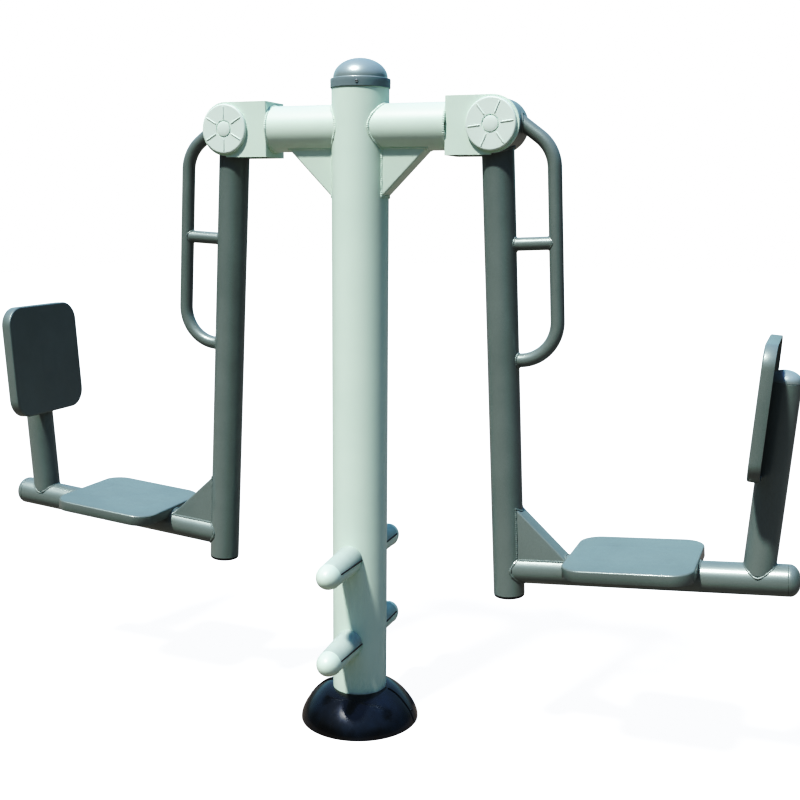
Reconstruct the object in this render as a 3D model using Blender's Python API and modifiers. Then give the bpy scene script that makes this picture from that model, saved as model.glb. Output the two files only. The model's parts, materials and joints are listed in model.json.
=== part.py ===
"""Outdoor double leg press: one post, two seats that hang from pivots on a crossarm.

Metres, +Z up. The origin is on the ground at the centre of the post, +X runs towards
the right-hand seat and -Y is the front. Run with: blender --background --python part.py
"""
import math

import bmesh
import bpy
from mathutils import Matrix, Vector

# ---------------------------------------------------------------- driving dimensions
WELD_GAP = 0.0003           # clearance between pieces that touch or are welded
CHAMFER = 0.001

POST_RADIUS = 0.070
POST_WALL = 0.004
POST_TOP = 1.628
FLANGE_RADIUS = 0.125
FLANGE_THICKNESS = 0.012
ANCHOR_HOLE_RADIUS = 0.009
ANCHOR_CIRCLE_RADIUS = 0.102
ANCHOR_HOLES = 4

COVER_BASE_RADIUS = 0.1532
COVER_HEIGHT = 0.087
COVER_TOP_REACH = 0.0378    # how far out the dome's level top pulls its curve
COVER_FOOT_RISE = 0.0288    # how far up its upright foot does
COVER_WALL = 0.003
COVER_SEAM = 0.0005         # each half stands this far back from the joint between them
COVER_NECK_GAP = 0.001      # round the post, so the shell's lower edge clears it

CAP_BAND_RADIUS = 0.0727
CAP_BAND_BOTTOM = 1.609
CAP_BAND_TOP = 1.631
CAP_DOME_RADIUS = 0.0657
CAP_TOP = 1.680
CAP_WALL = 0.003
CAP_SCREW_RADIUS = 0.0035
CAP_SCREW_HEAD = 0.0022
CAP_SCREW_SHANK = 0.0015
CAP_SCREW_BORE = 0.0018
CAP_SCREW_TURN = 16.0       # degrees from straight ahead

PIVOT_X = 0.345
PIVOT_Z = 1.517
CROSSARM_RADIUS = 0.056
CROSSARM_WALL = 0.004

BRACKET_INNER_X = 0.232     # outer face of the end wall, where the crossarm meets it
BRACKET_HALF_DEPTH = 0.049
BRACKET_PLATE = 0.006
BRACKET_UP = 0.063
BRACKET_DOWN = 0.069
EAR_OVERLAP = 0.001         # the rear half of the outline runs this far into the front half
FRONT_EAR_RADIUS = 0.0655
REAR_EAR_RADIUS = 0.0590

DRUM_RADIUS = 0.0635
DRUM_RIM = 0.005
DRUM_WEB = 0.008
DRUM_HUB_RADIUS = 0.028
DRUM_SIDE_GAP = 0.0005
BUSH_RADIUS = 0.020
SHAFT_RADIUS = 0.0125
SHAFT_HEAD_RADIUS = 0.020
SHAFT_HEAD_HEIGHT = 0.0050
NUT_HEIGHT = 0.0060

PIVOT_COVER_RADIUS = 0.0602
PIVOT_COVER_DEPTH = 0.0100
PIVOT_COVER_WALL = 0.0022
PIVOT_COVER_EDGE = 0.005
PLUG_RADIUS = 0.0200
PLUG_RISE = 0.0030

SWING = 25.0                # degrees outwards before the lug meets the lower jaw
LUG_TIP = 0.094
LUG_HALF_HEIGHT = 0.008
LUG_HALF_DEPTH = 0.016
LUG_ROOT = 0.002            # how far the lug reaches into the drum's rim
BUFFER_HALF_DEPTH = 0.024
BUFFER_WEB = 0.006
BUFFER_JAW_REACH = 0.068
BUFFER_TOP = 0.032
BUFFER_FOOT_GAP = 0.002     # above the bracket's lower edge

ARM_TILT = 2.85             # degrees, the arm's lean outwards at rest
ARM_RADIUS = 0.0380
ARM_WALL = 0.0035
ARM_BOTTOM = 1.126
ARM_PLUG_DROP = 0.013
ARM_PLUG_INSET = 0.0005

SEAT_AXIS_DROP = 1.061
SEAT_RISE = 1.70            # degrees, the seat tube's lift beyond square to the arm
SEAT_TUBE_RADIUS = 0.0365
SEAT_TUBE_END = 0.652
SEAT_DOME = 0.026

BACK_FOOT = 0.585
BACK_LEAN = 8.40            # degrees from square to the seat tube
BACK_RADIUS = 0.0359
BACK_TUBE_END = 0.455
BACK_DOME = 0.027
TUBE_WALL = 0.003
END_PLUG_DEPTH = 0.018
END_PLUG_WALL = 0.003
END_PLUG_HOLLOW = 0.45      # share of an end cap's dome that is hollow

PAN_SHEET = 0.0025
PAN_SKIRT = 0.027
SEAT_FACE = 0.0454          # from the seat tube's axis up to the sitting face
BACK_FACE = 0.0480          # from the back tube's axis to the leaning face
PAN_EDGE_ROUND = 0.007
SEAT_PAN_START = 0.1575
SEAT_PAN_END = 0.4585
SEAT_PAN_WIDTH = 0.297
SEAT_PAN_CORNER = 0.052
BACK_PAN_START = 0.2430
BACK_PAN_END = 0.5460
BACK_PAN_WIDTH = 0.282
BACK_PAN_CORNER = 0.052

HANDLE_RADIUS = 0.0165
HANDLE_WALL = 0.0025
HANDLE_OFFSET = 0.1335
HANDLE_BEND = 0.092
HANDLE_TOP_ANGLE = 39.6     # degrees below level, where the handle leaves the drum
HANDLE_TOP_CORNER = 0.0600
HANDLE_TOP_RUN = 0.115
HANDLE_FOOT_X = 0.015
HANDLE_BOTTOM = 0.548
STRUT_DROP = 0.2745
STRUT_RADIUS = 0.0155

GUSSET_HALF_DEPTH = 0.025
GUSSET_SHEET = 0.003
ARM_GUSSET_TOP = 0.877      # where its slope, carried on, meets the arm's axis
CROSS_GUSSET_BOTTOM = 1.2855

PEG_HEIGHTS = {"upper": 0.441, "lower": 0.218}
PEG_RADIUS = 0.031
PEG_WALL = 0.003
PEG_TUBE_END = 0.190
PEG_TIP = 0.228
PAD_RADIUS = 0.0335
PAD_TILT = 4.6              # degrees, the tread's fall towards its tip
PAD_LIFT = 0.0095           # of the tread's axis above the bar's, at the post
PAD_EDGE = 0.009
PAD_TIP_CENTRE = 0.162
PAD_START = 0.020

SIDES = {"left": -1, "right": 1}
ENDS = {"front": -1, "rear": 1}

FINE = 36                   # sides of the large, medium and small round pieces
ROUND = 24
SMALL = 16
DOME_STEPS = 4
EAR_STEPS = 12
COVER_STEPS = 7


# ---------------------------------------------------------------- scene and materials
def clear_scene():
    for obj in list(bpy.data.objects):
        bpy.data.objects.remove(obj, do_unlink=True)


def new_collection(name):
    collection = bpy.data.collections.new(name)
    bpy.context.scene.collection.children.link(collection)
    return collection


def new_material(name, colour, roughness, metallic=0.0):
    material = bpy.data.materials.new(name)
    material.use_nodes = True
    shader = material.node_tree.nodes["Principled BSDF"]
    shader.inputs["Base Color"].default_value = (*colour, 1.0)
    shader.inputs["Roughness"].default_value = roughness
    shader.inputs["Metallic"].default_value = metallic
    return material


clear_scene()
PARTS = new_collection("double_leg_press")
CUTTERS = new_collection("cutters")

CREAM = new_material("cream_powder_coat", (0.60, 0.66, 0.58), 0.35)
GRAPHITE = new_material("graphite_powder_coat", (0.085, 0.105, 0.105), 0.38, 0.35)
DOME_GREY = new_material("grey_dome_plastic", (0.12, 0.16, 0.17), 0.30, 0.20)
BLACK_GLOSS = new_material("black_gloss_plastic", (0.008, 0.010, 0.012), 0.12)
CREAM_PLASTIC = new_material("cream_plastic", (0.62, 0.67, 0.60), 0.30)
BLACK_RUBBER = new_material("black_rubber", (0.015, 0.015, 0.016), 0.70)
STEEL = new_material("plated_steel", (0.55, 0.55, 0.56), 0.30, 1.0)
BRONZE = new_material("bronze", (0.45, 0.28, 0.12), 0.35, 1.0)


# ---------------------------------------------------------------- building blocks
def add_object(name, data, material=None, parent=None, location=(0, 0, 0), rotation=(0, 0, 0)):
    """Link data as an object in its parent's frame; rotation is in degrees."""
    obj = bpy.data.objects.new(name, data)
    obj.location = location
    obj.rotation_euler = [math.radians(angle) for angle in rotation]
    obj.parent = parent
    if material is None:
        CUTTERS.objects.link(obj)
        obj.hide_render = True
        obj.display_type = "WIRE"
    else:
        PARTS.objects.link(obj)
        data.materials.append(material)
    return obj


def add_frame(name, parent, location, turn_y=0.0):
    frame = bpy.data.objects.new(name, None)
    frame.location = location
    frame.rotation_euler = (0, math.radians(turn_y), 0)
    frame.parent = parent
    PARTS.objects.link(frame)
    return frame


def finish_mesh(name, bm, smooth=True):
    mesh = bpy.data.meshes.new(name)
    bm.to_mesh(mesh)
    bm.free()
    if smooth:
        mesh.shade_smooth()
        mesh.set_sharp_from_angle(angle=math.radians(35))
    return mesh


def cylinder_mesh(name, radius, length, segments, closed):
    """A cylinder that stands on its frame's XY plane."""
    bm = bmesh.new()
    bmesh.ops.create_cone(bm, cap_ends=closed, segments=segments, radius1=radius, radius2=radius,
                          depth=length, matrix=Matrix.Translation((0, 0, length / 2)))
    return finish_mesh(name, bm)


def box_mesh(name, low, high):
    low, high = Vector(low), Vector(high)
    bm = bmesh.new()
    place = Matrix.Translation((low + high) / 2) @ Matrix.Diagonal((*(high - low), 1))
    bmesh.ops.create_cube(bm, size=1.0, matrix=place)
    return finish_mesh(name, bm, smooth=False)


def profile_mesh(name, points, closed):
    """A profile of (radius, height) points in the XZ plane, for a Screw modifier."""
    bm = bmesh.new()
    verts = [bm.verts.new((radius, 0, height)) for radius, height in points]
    for start, end in zip(verts, verts[1:]):
        bm.edges.new((start, end))
    if closed:
        bm.edges.new((verts[-1], verts[0]))
    return finish_mesh(name, bm, smooth=False)


def add_screw(obj, steps, angle=360.0):
    screw = obj.modifiers.new("Screw", "SCREW")
    screw.axis = "Z"
    screw.angle = math.radians(angle)
    screw.steps = steps
    screw.render_steps = steps
    screw.use_merge_vertices = True
    screw.merge_threshold = 0.00001
    screw.use_normal_calculate = False
    return screw


def add_shell(obj, wall):
    shell = obj.modifiers.new("Solidify", "SOLIDIFY")
    shell.thickness = wall
    shell.offset = -1
    shell.use_even_offset = True
    return shell


def cut(obj, *cutters):
    for cutter in cutters:
        boolean = obj.modifiers.new("Cut " + cutter.name, "BOOLEAN")
        boolean.operation = "DIFFERENCE"
        boolean.solver = "EXACT"
        boolean.object = cutter


def unite(obj, other):
    boolean = obj.modifiers.new("Join " + other.name, "BOOLEAN")
    boolean.operation = "UNION"
    boolean.solver = "EXACT"
    boolean.object = other


def turned(name, points, steps, material, closed=False, **place):
    """A turned solid: a profile that starts and ends on the axis, or a closed ring."""
    obj = add_object(name, profile_mesh(name, points, closed), material, **place)
    add_screw(obj, steps)
    return obj


def pipe(name, radius, wall, length, segments, material, **place):
    mesh = cylinder_mesh(name, radius, length, segments, closed=False)
    obj = add_object(name, mesh, material, **place)
    add_shell(obj, wall)
    return obj


def cylinder_cutter(name, radius, length, segments, **place):
    mesh = cylinder_mesh(name, radius, length, segments, closed=True)
    return add_object(name, mesh, **place)


def arc_points(centre, radius, start, end, steps):
    """Points on an arc, angles in degrees."""
    turns = [math.radians(start + (end - start) * i / steps) for i in range(steps + 1)]
    return [(centre[0] + radius * math.cos(t), centre[1] + radius * math.sin(t)) for t in turns]


def curve_data(name, points, cyclic=False):
    curve = bpy.data.curves.new(name, "CURVE")
    spline = curve.splines.new("POLY")
    spline.points.add(len(points) - 1)
    for slot, point in zip(spline.points, points):
        slot.co = (*point, 1.0)
    spline.use_cyclic_u = cyclic
    return curve


def mesh_from_curve(name, curve):
    """Turn curve data into a welded mesh and drop the curve."""
    holder = bpy.data.objects.new(name + "_curve", curve)
    bpy.context.scene.collection.objects.link(holder)
    evaluated = holder.evaluated_get(bpy.context.evaluated_depsgraph_get())
    source = bpy.data.meshes.new_from_object(evaluated)
    bpy.data.objects.remove(holder, do_unlink=True)
    bm = bmesh.new()
    bm.from_mesh(source)
    bpy.data.meshes.remove(source)
    bmesh.ops.remove_doubles(bm, verts=bm.verts, dist=0.00001)
    return bm


def plate_bmesh(name, outline, thickness):
    """A flat plate in the XZ plane, its thickness along Y and centred on it."""
    curve = curve_data(name, [(x, z, 0) for x, z in outline], cyclic=True)
    curve.dimensions = "2D"
    curve.fill_mode = "BOTH"
    curve.extrude = thickness / 2
    bm = mesh_from_curve(name, curve)
    bmesh.ops.rotate(bm, verts=bm.verts, matrix=Matrix.Rotation(math.radians(90), 3, "X"))
    return bm


# ---------------------------------------------------------------- post and base
def build_flange():
    flange = add_object("anchor_flange",
                        cylinder_mesh("anchor_flange", FLANGE_RADIUS, FLANGE_THICKNESS, FINE, True),
                        STEEL)
    for index in range(ANCHOR_HOLES):
        turn = math.tau * (index + 0.5) / ANCHOR_HOLES
        place = (ANCHOR_CIRCLE_RADIUS * math.cos(turn), ANCHOR_CIRCLE_RADIUS * math.sin(turn),
                 -FLANGE_THICKNESS)
        hole = cylinder_cutter(f"anchor_hole_{index + 1}", ANCHOR_HOLE_RADIUS,
                               3 * FLANGE_THICKNESS, SMALL, location=place)
        cut(flange, hole)


def curve_point(controls, share):
    """A point on the cubic curve that four control points pull."""
    points = [Vector(point) for point in controls]
    while len(points) > 1:
        points = [start.lerp(end, share) for start, end in zip(points, points[1:])]
    return tuple(points[0])


def build_base_cover():
    """Two half domes that meet at the sides and close round the foot of the post."""
    neck = POST_RADIUS + COVER_NECK_GAP
    controls = [(neck, COVER_HEIGHT), (neck + COVER_TOP_REACH, COVER_HEIGHT),
                (COVER_BASE_RADIUS, COVER_FOOT_RISE), (COVER_BASE_RADIUS, 0.0)]
    profile = [curve_point(controls, index / COVER_STEPS) for index in range(COVER_STEPS + 1)]
    for end, side in ENDS.items():
        name = f"base_cover_{end}"
        half = add_object(name, profile_mesh(name, profile, False), BLACK_GLOSS,
                          location=(0, side * COVER_SEAM, 0),
                          rotation=(0, 0, 0 if side > 0 else 180))
        add_screw(half, SMALL, angle=180.0)
        add_shell(half, COVER_WALL)


def build_post(peg_cutters):
    bottom = FLANGE_THICKNESS + WELD_GAP
    post = pipe("main_post", POST_RADIUS, POST_WALL, POST_TOP - bottom, FINE, CREAM,
                location=(0, 0, bottom))
    cut(post, *peg_cutters)
    return cylinder_cutter("post_space", POST_RADIUS + WELD_GAP, CAP_TOP, FINE)


def build_post_cap():
    dome_rise = CAP_TOP - CAP_BAND_TOP
    fit = POST_RADIUS + WELD_GAP
    outer = [(CAP_DOME_RADIUS * x, CAP_BAND_TOP + dome_rise * z)
             for x, z in arc_points((0, 0), 1.0, 90, 0, DOME_STEPS)]
    outer[0] = (0.0, CAP_TOP)
    band = [(CAP_BAND_RADIUS - CHAMFER, CAP_BAND_TOP), (CAP_BAND_RADIUS, CAP_BAND_TOP - CHAMFER),
            (CAP_BAND_RADIUS, CAP_BAND_BOTTOM), (fit, CAP_BAND_BOTTOM),
            (fit, POST_TOP + WELD_GAP)]
    inner = [((CAP_DOME_RADIUS - CAP_WALL) * x, POST_TOP + WELD_GAP + (CAP_TOP - CAP_WALL - POST_TOP) * z)
             for x, z in arc_points((0, 0), 1.0, 0, 90, DOME_STEPS)]
    inner[-1] = (0.0, inner[-1][1])
    cap = turned("post_cap", outer + band + inner, FINE, DOME_GREY)
    height = (CAP_BAND_BOTTOM + CAP_BAND_TOP) / 2
    top = CAP_BAND_RADIUS + CAP_SCREW_HEAD
    seat = CAP_BAND_RADIUS + WELD_GAP
    end = fit + WELD_GAP
    head = [(0.0, top), (CAP_SCREW_RADIUS * 0.7, top), (CAP_SCREW_RADIUS, seat),
            (CAP_SCREW_SHANK, seat), (CAP_SCREW_SHANK, end), (0.0, end)]
    for place, turn in (("front", CAP_SCREW_TURN), ("rear", CAP_SCREW_TURN + 180)):
        bearing = math.radians(turn)
        outwards = Vector((math.sin(bearing), -math.cos(bearing), 0))
        turned(f"post_cap_screw_{place}", head, SMALL, STEEL, location=(0, 0, height),
               rotation=(90, 0, turn))
        shank = cylinder_cutter(f"screw_hole_{place}", CAP_SCREW_BORE, CAP_BAND_RADIUS / 2, SMALL,
                                location=outwards * 0.8 * POST_RADIUS + Vector((0, 0, height)),
                                rotation=(90, 0, turn))
        cut(cap, shank)


def dome_cap(name, radius, wall, rise, material, **place):
    """A domed end cap with a plug that fits inside its tube."""
    plug = radius - wall - WELD_GAP
    bore = plug - END_PLUG_WALL
    profile = [(radius * x, WELD_GAP + rise * z) for x, z in arc_points((0, 0), 1.0, 90, 0, DOME_STEPS)]
    profile[0] = (0.0, WELD_GAP + rise)
    profile += [(plug, WELD_GAP), (plug, -END_PLUG_DEPTH), (bore, -END_PLUG_DEPTH), (bore, 0.0)]
    profile += [(0.0, rise * END_PLUG_HOLLOW)]
    return turned(name, profile, ROUND, material, **place)


# ---------------------------------------------------------------- foot pegs
def build_pegs():
    """Two bars through the post, each with a domed cap and a tread pad at both ends."""
    peg_cutters = []
    for level, height in PEG_HEIGHTS.items():
        pipe(f"peg_bar_{level}", PEG_RADIUS, PEG_WALL, 2 * PEG_TUBE_END, ROUND, CREAM,
             location=(0, PEG_TUBE_END, height), rotation=(90, 0, 0))
        peg_cutters.append(cylinder_cutter(f"peg_space_{level}", PEG_RADIUS + WELD_GAP,
                                           2.2 * PEG_TIP, ROUND, location=(0, 1.1 * PEG_TIP, height),
                                           rotation=(90, 0, 0)))
        for end, side in ENDS.items():
            dome_cap(f"peg_cap_{level}_{end}", PEG_RADIUS, PEG_WALL, PEG_TIP - PEG_TUBE_END - WELD_GAP,
                     CREAM, location=(0, side * PEG_TUBE_END, height), rotation=(-90 * side, 0, 0))
    return peg_cutters


def build_treads(post_cutter, peg_cutters):
    tip = PAD_TIP_CENTRE
    room = 1.5 * PAD_RADIUS
    lift = PAD_LIFT + POST_RADIUS * math.tan(math.radians(PAD_TILT))
    for (level, height), peg_cutter in zip(PEG_HEIGHTS.items(), peg_cutters):
        for end, side in ENDS.items():
            name = f"peg_tread_{level}_{end}"
            profile = [(PAD_RADIUS * x, tip + PAD_RADIUS * z)
                       for x, z in arc_points((0, 0), 1.0, 90, 0, DOME_STEPS)]
            profile[0] = (0.0, tip + PAD_RADIUS)
            profile += [(PAD_RADIUS, PAD_START), (0.0, PAD_START)]
            pad = turned(name, profile, ROUND, CREAM_PLASTIC,
                         location=(0, 0, height + lift), rotation=(-side * (90 + PAD_TILT), 0, 0))
            under = box_mesh(name + "_underside", (-room, -PEG_TIP, -room), (room, PEG_TIP, 0.0))
            lower = add_object(name + "_underside", under, location=(0, 0, height + PAD_EDGE))
            cut(pad, lower, post_cutter, peg_cutter)


# ---------------------------------------------------------------- crossarm and pivots
def ear_outline(side, radius, inner_x):
    """The bracket's side view: square at the crossarm, round about the pivot."""
    arc = arc_points((side * PIVOT_X, PIVOT_Z), radius, 90, 90 - side * 180, EAR_STEPS)
    square = [(side * inner_x, PIVOT_Z - BRACKET_DOWN), (side * inner_x, PIVOT_Z + BRACKET_UP)]
    return arc + square


def build_crossarm(label, side, post_cutter):
    reach = BRACKET_INNER_X - WELD_GAP
    arm = pipe(f"crossarm_{label}", CROSSARM_RADIUS, CROSSARM_WALL, reach, ROUND, CREAM,
               location=(0, 0, PIVOT_Z), rotation=(0, side * 90, 0))
    cut(arm, post_cutter)
    space = cylinder_cutter(f"crossarm_space_{label}", CROSSARM_RADIUS + WELD_GAP, PIVOT_X, ROUND,
                            location=(0, 0, PIVOT_Z), rotation=(0, side * 90, 0))
    corner = [(0, CROSS_GUSSET_BOTTOM), (side * (PIVOT_Z - CROSS_GUSSET_BOTTOM), PIVOT_Z), (0, PIVOT_Z)]
    gusset = folded_gusset(f"crossarm_gusset_{label}", corner, CREAM, None)
    cut(gusset, post_cutter, space)


def folded_gusset(name, corner, material, parent):
    """A gusset folded from sheet: a sloping face and two cheeks, open to both tubes.

    corner gives the two ends of the slope and then the square corner."""
    bm = plate_bmesh(name, corner, 2 * GUSSET_HALF_DEPTH)
    slope = Vector((corner[1][0] - corner[0][0], 0, corner[1][1] - corner[0][1])).normalized()
    legs = [face for face in bm.faces
            if abs(face.normal.y) < 0.5 and abs(face.normal.dot(slope)) > 0.1]
    bmesh.ops.delete(bm, geom=legs, context="FACES")
    gusset = add_object(name, finish_mesh(name, bm, smooth=False), material, parent=parent)
    add_shell(gusset, GUSSET_SHEET)
    return gusset


def build_bracket(label, side):
    """A clevis: two ears and an end wall, cut from one block outline."""
    depth = BRACKET_HALF_DEPTH
    name = f"pivot_bracket_{label}"
    front = plate_bmesh(name, ear_outline(side, FRONT_EAR_RADIUS, BRACKET_INNER_X), depth)
    bmesh.ops.translate(front, verts=front.verts, vec=(0, -depth / 2, 0))
    bracket = add_object(name, finish_mesh(name, front, smooth=False), CREAM)
    rear = plate_bmesh(name + "_rear", ear_outline(side, REAR_EAR_RADIUS, BRACKET_INNER_X),
                       depth + EAR_OVERLAP)
    bmesh.ops.translate(rear, verts=rear.verts, vec=(0, (depth - EAR_OVERLAP) / 2, 0))
    rear_half = add_object(name + "_rear_half", finish_mesh(name + "_rear", rear, smooth=False))
    clear = depth - BRACKET_PLATE
    inside = box_mesh(name + "_inside",
                      (BRACKET_INNER_X + BRACKET_PLATE, -clear, PIVOT_Z - 1.5 * BRACKET_DOWN),
                      (1.5 * PIVOT_X, clear, PIVOT_Z + 1.5 * BRACKET_UP))
    room = add_object(name + "_inside", inside, rotation=(0, 0, 90 - 90 * side))
    bore = cylinder_cutter(name + "_bore", SHAFT_RADIUS + WELD_GAP, 4 * depth, SMALL,
                           location=(side * PIVOT_X, 2 * depth, PIVOT_Z), rotation=(90, 0, 0))
    unite(bracket, rear_half)
    cut(bracket, room, bore)


def build_shaft(label, pivot):
    """The pivot bolt, its head at the front, and the nut at the rear."""
    face = BRACKET_HALF_DEPTH + WELD_GAP
    end = face + NUT_HEIGHT + CHAMFER
    head = face + SHAFT_HEAD_HEIGHT
    profile = [(0.0, head), (SHAFT_HEAD_RADIUS - CHAMFER, head), (SHAFT_HEAD_RADIUS, head - CHAMFER),
               (SHAFT_HEAD_RADIUS, face), (SHAFT_RADIUS, face), (SHAFT_RADIUS, -end), (0.0, -end)]
    turned(f"pivot_bolt_{label}", profile, SMALL, STEEL, parent=pivot, rotation=(90, 0, 0))
    name = f"pivot_nut_{label}"
    nut = add_object(name, cylinder_mesh(name, SHAFT_HEAD_RADIUS, NUT_HEIGHT, 6, True), STEEL,
                     parent=pivot, location=(0, face + NUT_HEIGHT, 0), rotation=(90, 0, 0))
    thread = cylinder_cutter(name + "_thread", SHAFT_RADIUS + WELD_GAP, 2 * face, SMALL, parent=pivot,
                             location=(0, 2 * face, 0), rotation=(90, 0, 0))
    cut(nut, thread)


def build_pivot_covers(label, pivot):
    """Shallow cups over the bolt head and the nut, with a low domed centre."""
    radius = PIVOT_COVER_RADIUS
    edge = PIVOT_COVER_EDGE
    depth = PIVOT_COVER_DEPTH
    wall = PIVOT_COVER_WALL
    rim = arc_points((radius - edge, depth - edge), edge, 90, 0, 2)
    profile = [(0.0, depth + PLUG_RISE), (PLUG_RADIUS * 0.6, depth + PLUG_RISE * 0.8),
               (PLUG_RADIUS, depth)] + rim
    profile += [(radius, 0.0), (radius - wall, 0.0), (radius - wall, depth - edge)]
    profile += [(radius - edge, depth - wall), (0.0, depth - wall)]
    for end, facing in ENDS.items():
        turned(f"pivot_cover_{label}_{end}", profile, ROUND, CREAM_PLASTIC, parent=pivot,
               location=(0, facing * (BRACKET_HALF_DEPTH + WELD_GAP), 0),
               rotation=(-90 * facing, 0, 0))


def build_buffer(label, side, pivot):
    """A rubber block on the bracket's end wall; its two jaws stop the drum's lug."""
    wall = PIVOT_X - BRACKET_INNER_X - BRACKET_PLATE - WELD_GAP
    web = wall - BUFFER_WEB
    swing = math.radians(SWING)
    rest = LUG_HALF_HEIGHT + WELD_GAP
    low = BUFFER_FOOT_GAP - BRACKET_DOWN

    def jaw_height(reach):
        """Height of the lug's lower face at full swing, less the clearance."""
        return -reach * math.tan(swing) - rest / math.cos(swing)

    outline = [(wall, BUFFER_TOP), (BUFFER_JAW_REACH, BUFFER_TOP), (BUFFER_JAW_REACH, rest), (web, rest),
               (web, jaw_height(web)), (BUFFER_JAW_REACH, jaw_height(BUFFER_JAW_REACH)),
               (BUFFER_JAW_REACH, low), (wall, low)]
    name = f"stop_buffer_{label}"
    bm = plate_bmesh(name, [(-side * reach, height) for reach, height in outline],
                     2 * BUFFER_HALF_DEPTH)
    add_object(name, finish_mesh(name, bm, smooth=False), BLACK_RUBBER, parent=pivot)


# ---------------------------------------------------------------- swinging arms
def build_drum(label, side, pivot):
    """The hub that turns on the bolt: rim, web and boss in one, with the stop lug."""
    half = BRACKET_HALF_DEPTH - BRACKET_PLATE - DRUM_SIDE_GAP
    inner = DRUM_RADIUS - DRUM_RIM
    bore = BUSH_RADIUS + WELD_GAP
    web = DRUM_WEB / 2
    profile = [(DRUM_RADIUS, half), (DRUM_RADIUS, -half), (inner, -half), (inner, -web),
               (DRUM_HUB_RADIUS, -web), (DRUM_HUB_RADIUS, -half), (bore, -half), (bore, half),
               (DRUM_HUB_RADIUS, half), (DRUM_HUB_RADIUS, web), (inner, web), (inner, half)]
    name = f"hub_drum_{label}"
    drum = turned(name, profile, FINE, GRAPHITE, closed=True, parent=pivot, rotation=(90, 0, 0))
    reach = sorted((-side * LUG_TIP, -side * (inner + LUG_ROOT)))
    lug = box_mesh(name + "_lug", (reach[0], -LUG_HALF_DEPTH, -LUG_HALF_HEIGHT),
                   (reach[1], LUG_HALF_DEPTH, LUG_HALF_HEIGHT))
    unite(drum, add_object(name + "_lug", lug, parent=pivot))
    bush = [(BUSH_RADIUS, half), (BUSH_RADIUS, -half), (SHAFT_RADIUS + WELD_GAP, -half),
            (SHAFT_RADIUS + WELD_GAP, half)]
    turned(f"hub_bush_{label}", bush, SMALL, BRONZE, closed=True, parent=pivot, rotation=(90, 0, 0))
    return cylinder_cutter(f"drum_space_{label}", DRUM_RADIUS + WELD_GAP, 2.2 * half, FINE,
                           parent=pivot, location=(0, 1.1 * half, 0), rotation=(90, 0, 0))


def build_arm_tube(label, arm, drum_cutter):
    tube = pipe(f"arm_tube_{label}", ARM_RADIUS, ARM_WALL, ARM_BOTTOM, ROUND, GRAPHITE,
                parent=arm, location=(0, 0, -ARM_BOTTOM))
    cut(tube, drum_cutter)
    plug = ARM_RADIUS - ARM_WALL - WELD_GAP
    face = ARM_RADIUS - ARM_PLUG_INSET
    drop = ARM_PLUG_DROP
    profile = [(0.0, END_PLUG_DEPTH), (plug, END_PLUG_DEPTH), (plug, -WELD_GAP), (face, -WELD_GAP),
               (face * 0.95, -drop * 0.4), (face * 0.8, -drop * 0.75), (face * 0.4, -drop), (0.0, -drop)]
    turned(f"arm_end_plug_{label}", profile, ROUND, BLACK_RUBBER, parent=arm,
           location=(0, 0, -ARM_BOTTOM))
    return cylinder_cutter(f"arm_space_{label}", ARM_RADIUS + WELD_GAP, ARM_BOTTOM, ROUND,
                           parent=arm, location=(0, 0, -ARM_BOTTOM))


def bend(before, corner, after, radius, steps):
    """Points along the arc that rounds a corner of a path."""
    arrive = (corner - before).normalized()
    leave = (after - corner).normalized()
    turn = arrive.angle(leave)
    setback = radius * math.tan(turn / 2)
    centre = corner + (leave - arrive).normalized() * radius / math.cos(turn / 2)
    start = corner - arrive * setback - centre
    axis = arrive.cross(leave).normalized()
    return [centre + Matrix.Rotation(turn * i / steps, 3, axis) @ start for i in range(steps + 1)]


def build_handle(label, side, arm, drum_cutter, arm_cutter):
    """A D-shaped grip bar: out of the drum, down beside the arm and back into it."""
    slope = math.radians(HANDLE_TOP_ANGLE)
    offset = side * HANDLE_OFFSET
    top = Vector((offset - side * HANDLE_TOP_RUN * math.cos(slope), 0,
                  HANDLE_TOP_RUN * math.sin(slope) - HANDLE_TOP_CORNER))
    upper = Vector((offset, 0, -HANDLE_TOP_CORNER))
    lower = Vector((offset, 0, -HANDLE_BOTTOM))
    foot = Vector((side * HANDLE_FOOT_X, 0, -HANDLE_BOTTOM))
    path = [top] + bend(top, upper, lower, HANDLE_BEND, 4) + bend(upper, lower, foot, HANDLE_BEND, 6)
    name = f"handle_{label}"
    curve = curve_data(name, [*path, foot])
    curve.dimensions = "3D"
    curve.bevel_depth = HANDLE_RADIUS
    curve.bevel_resolution = 3
    curve.use_fill_caps = False
    handle = add_object(name, finish_mesh(name, mesh_from_curve(name, curve)), GRAPHITE, parent=arm)
    add_shell(handle, HANDLE_WALL)
    cut(handle, drum_cutter, arm_cutter)
    grip = cylinder_cutter(f"grip_space_{label}", HANDLE_RADIUS + WELD_GAP, 2 * HANDLE_BEND, SMALL,
                           parent=arm, location=(offset, 0, -STRUT_DROP - HANDLE_BEND))
    strut = pipe(f"handle_strut_{label}", STRUT_RADIUS, HANDLE_WALL, HANDLE_OFFSET, SMALL, GRAPHITE,
                 parent=arm, location=(0, 0, -STRUT_DROP), rotation=(0, side * 90, 0))
    cut(strut, arm_cutter, grip)


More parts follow.
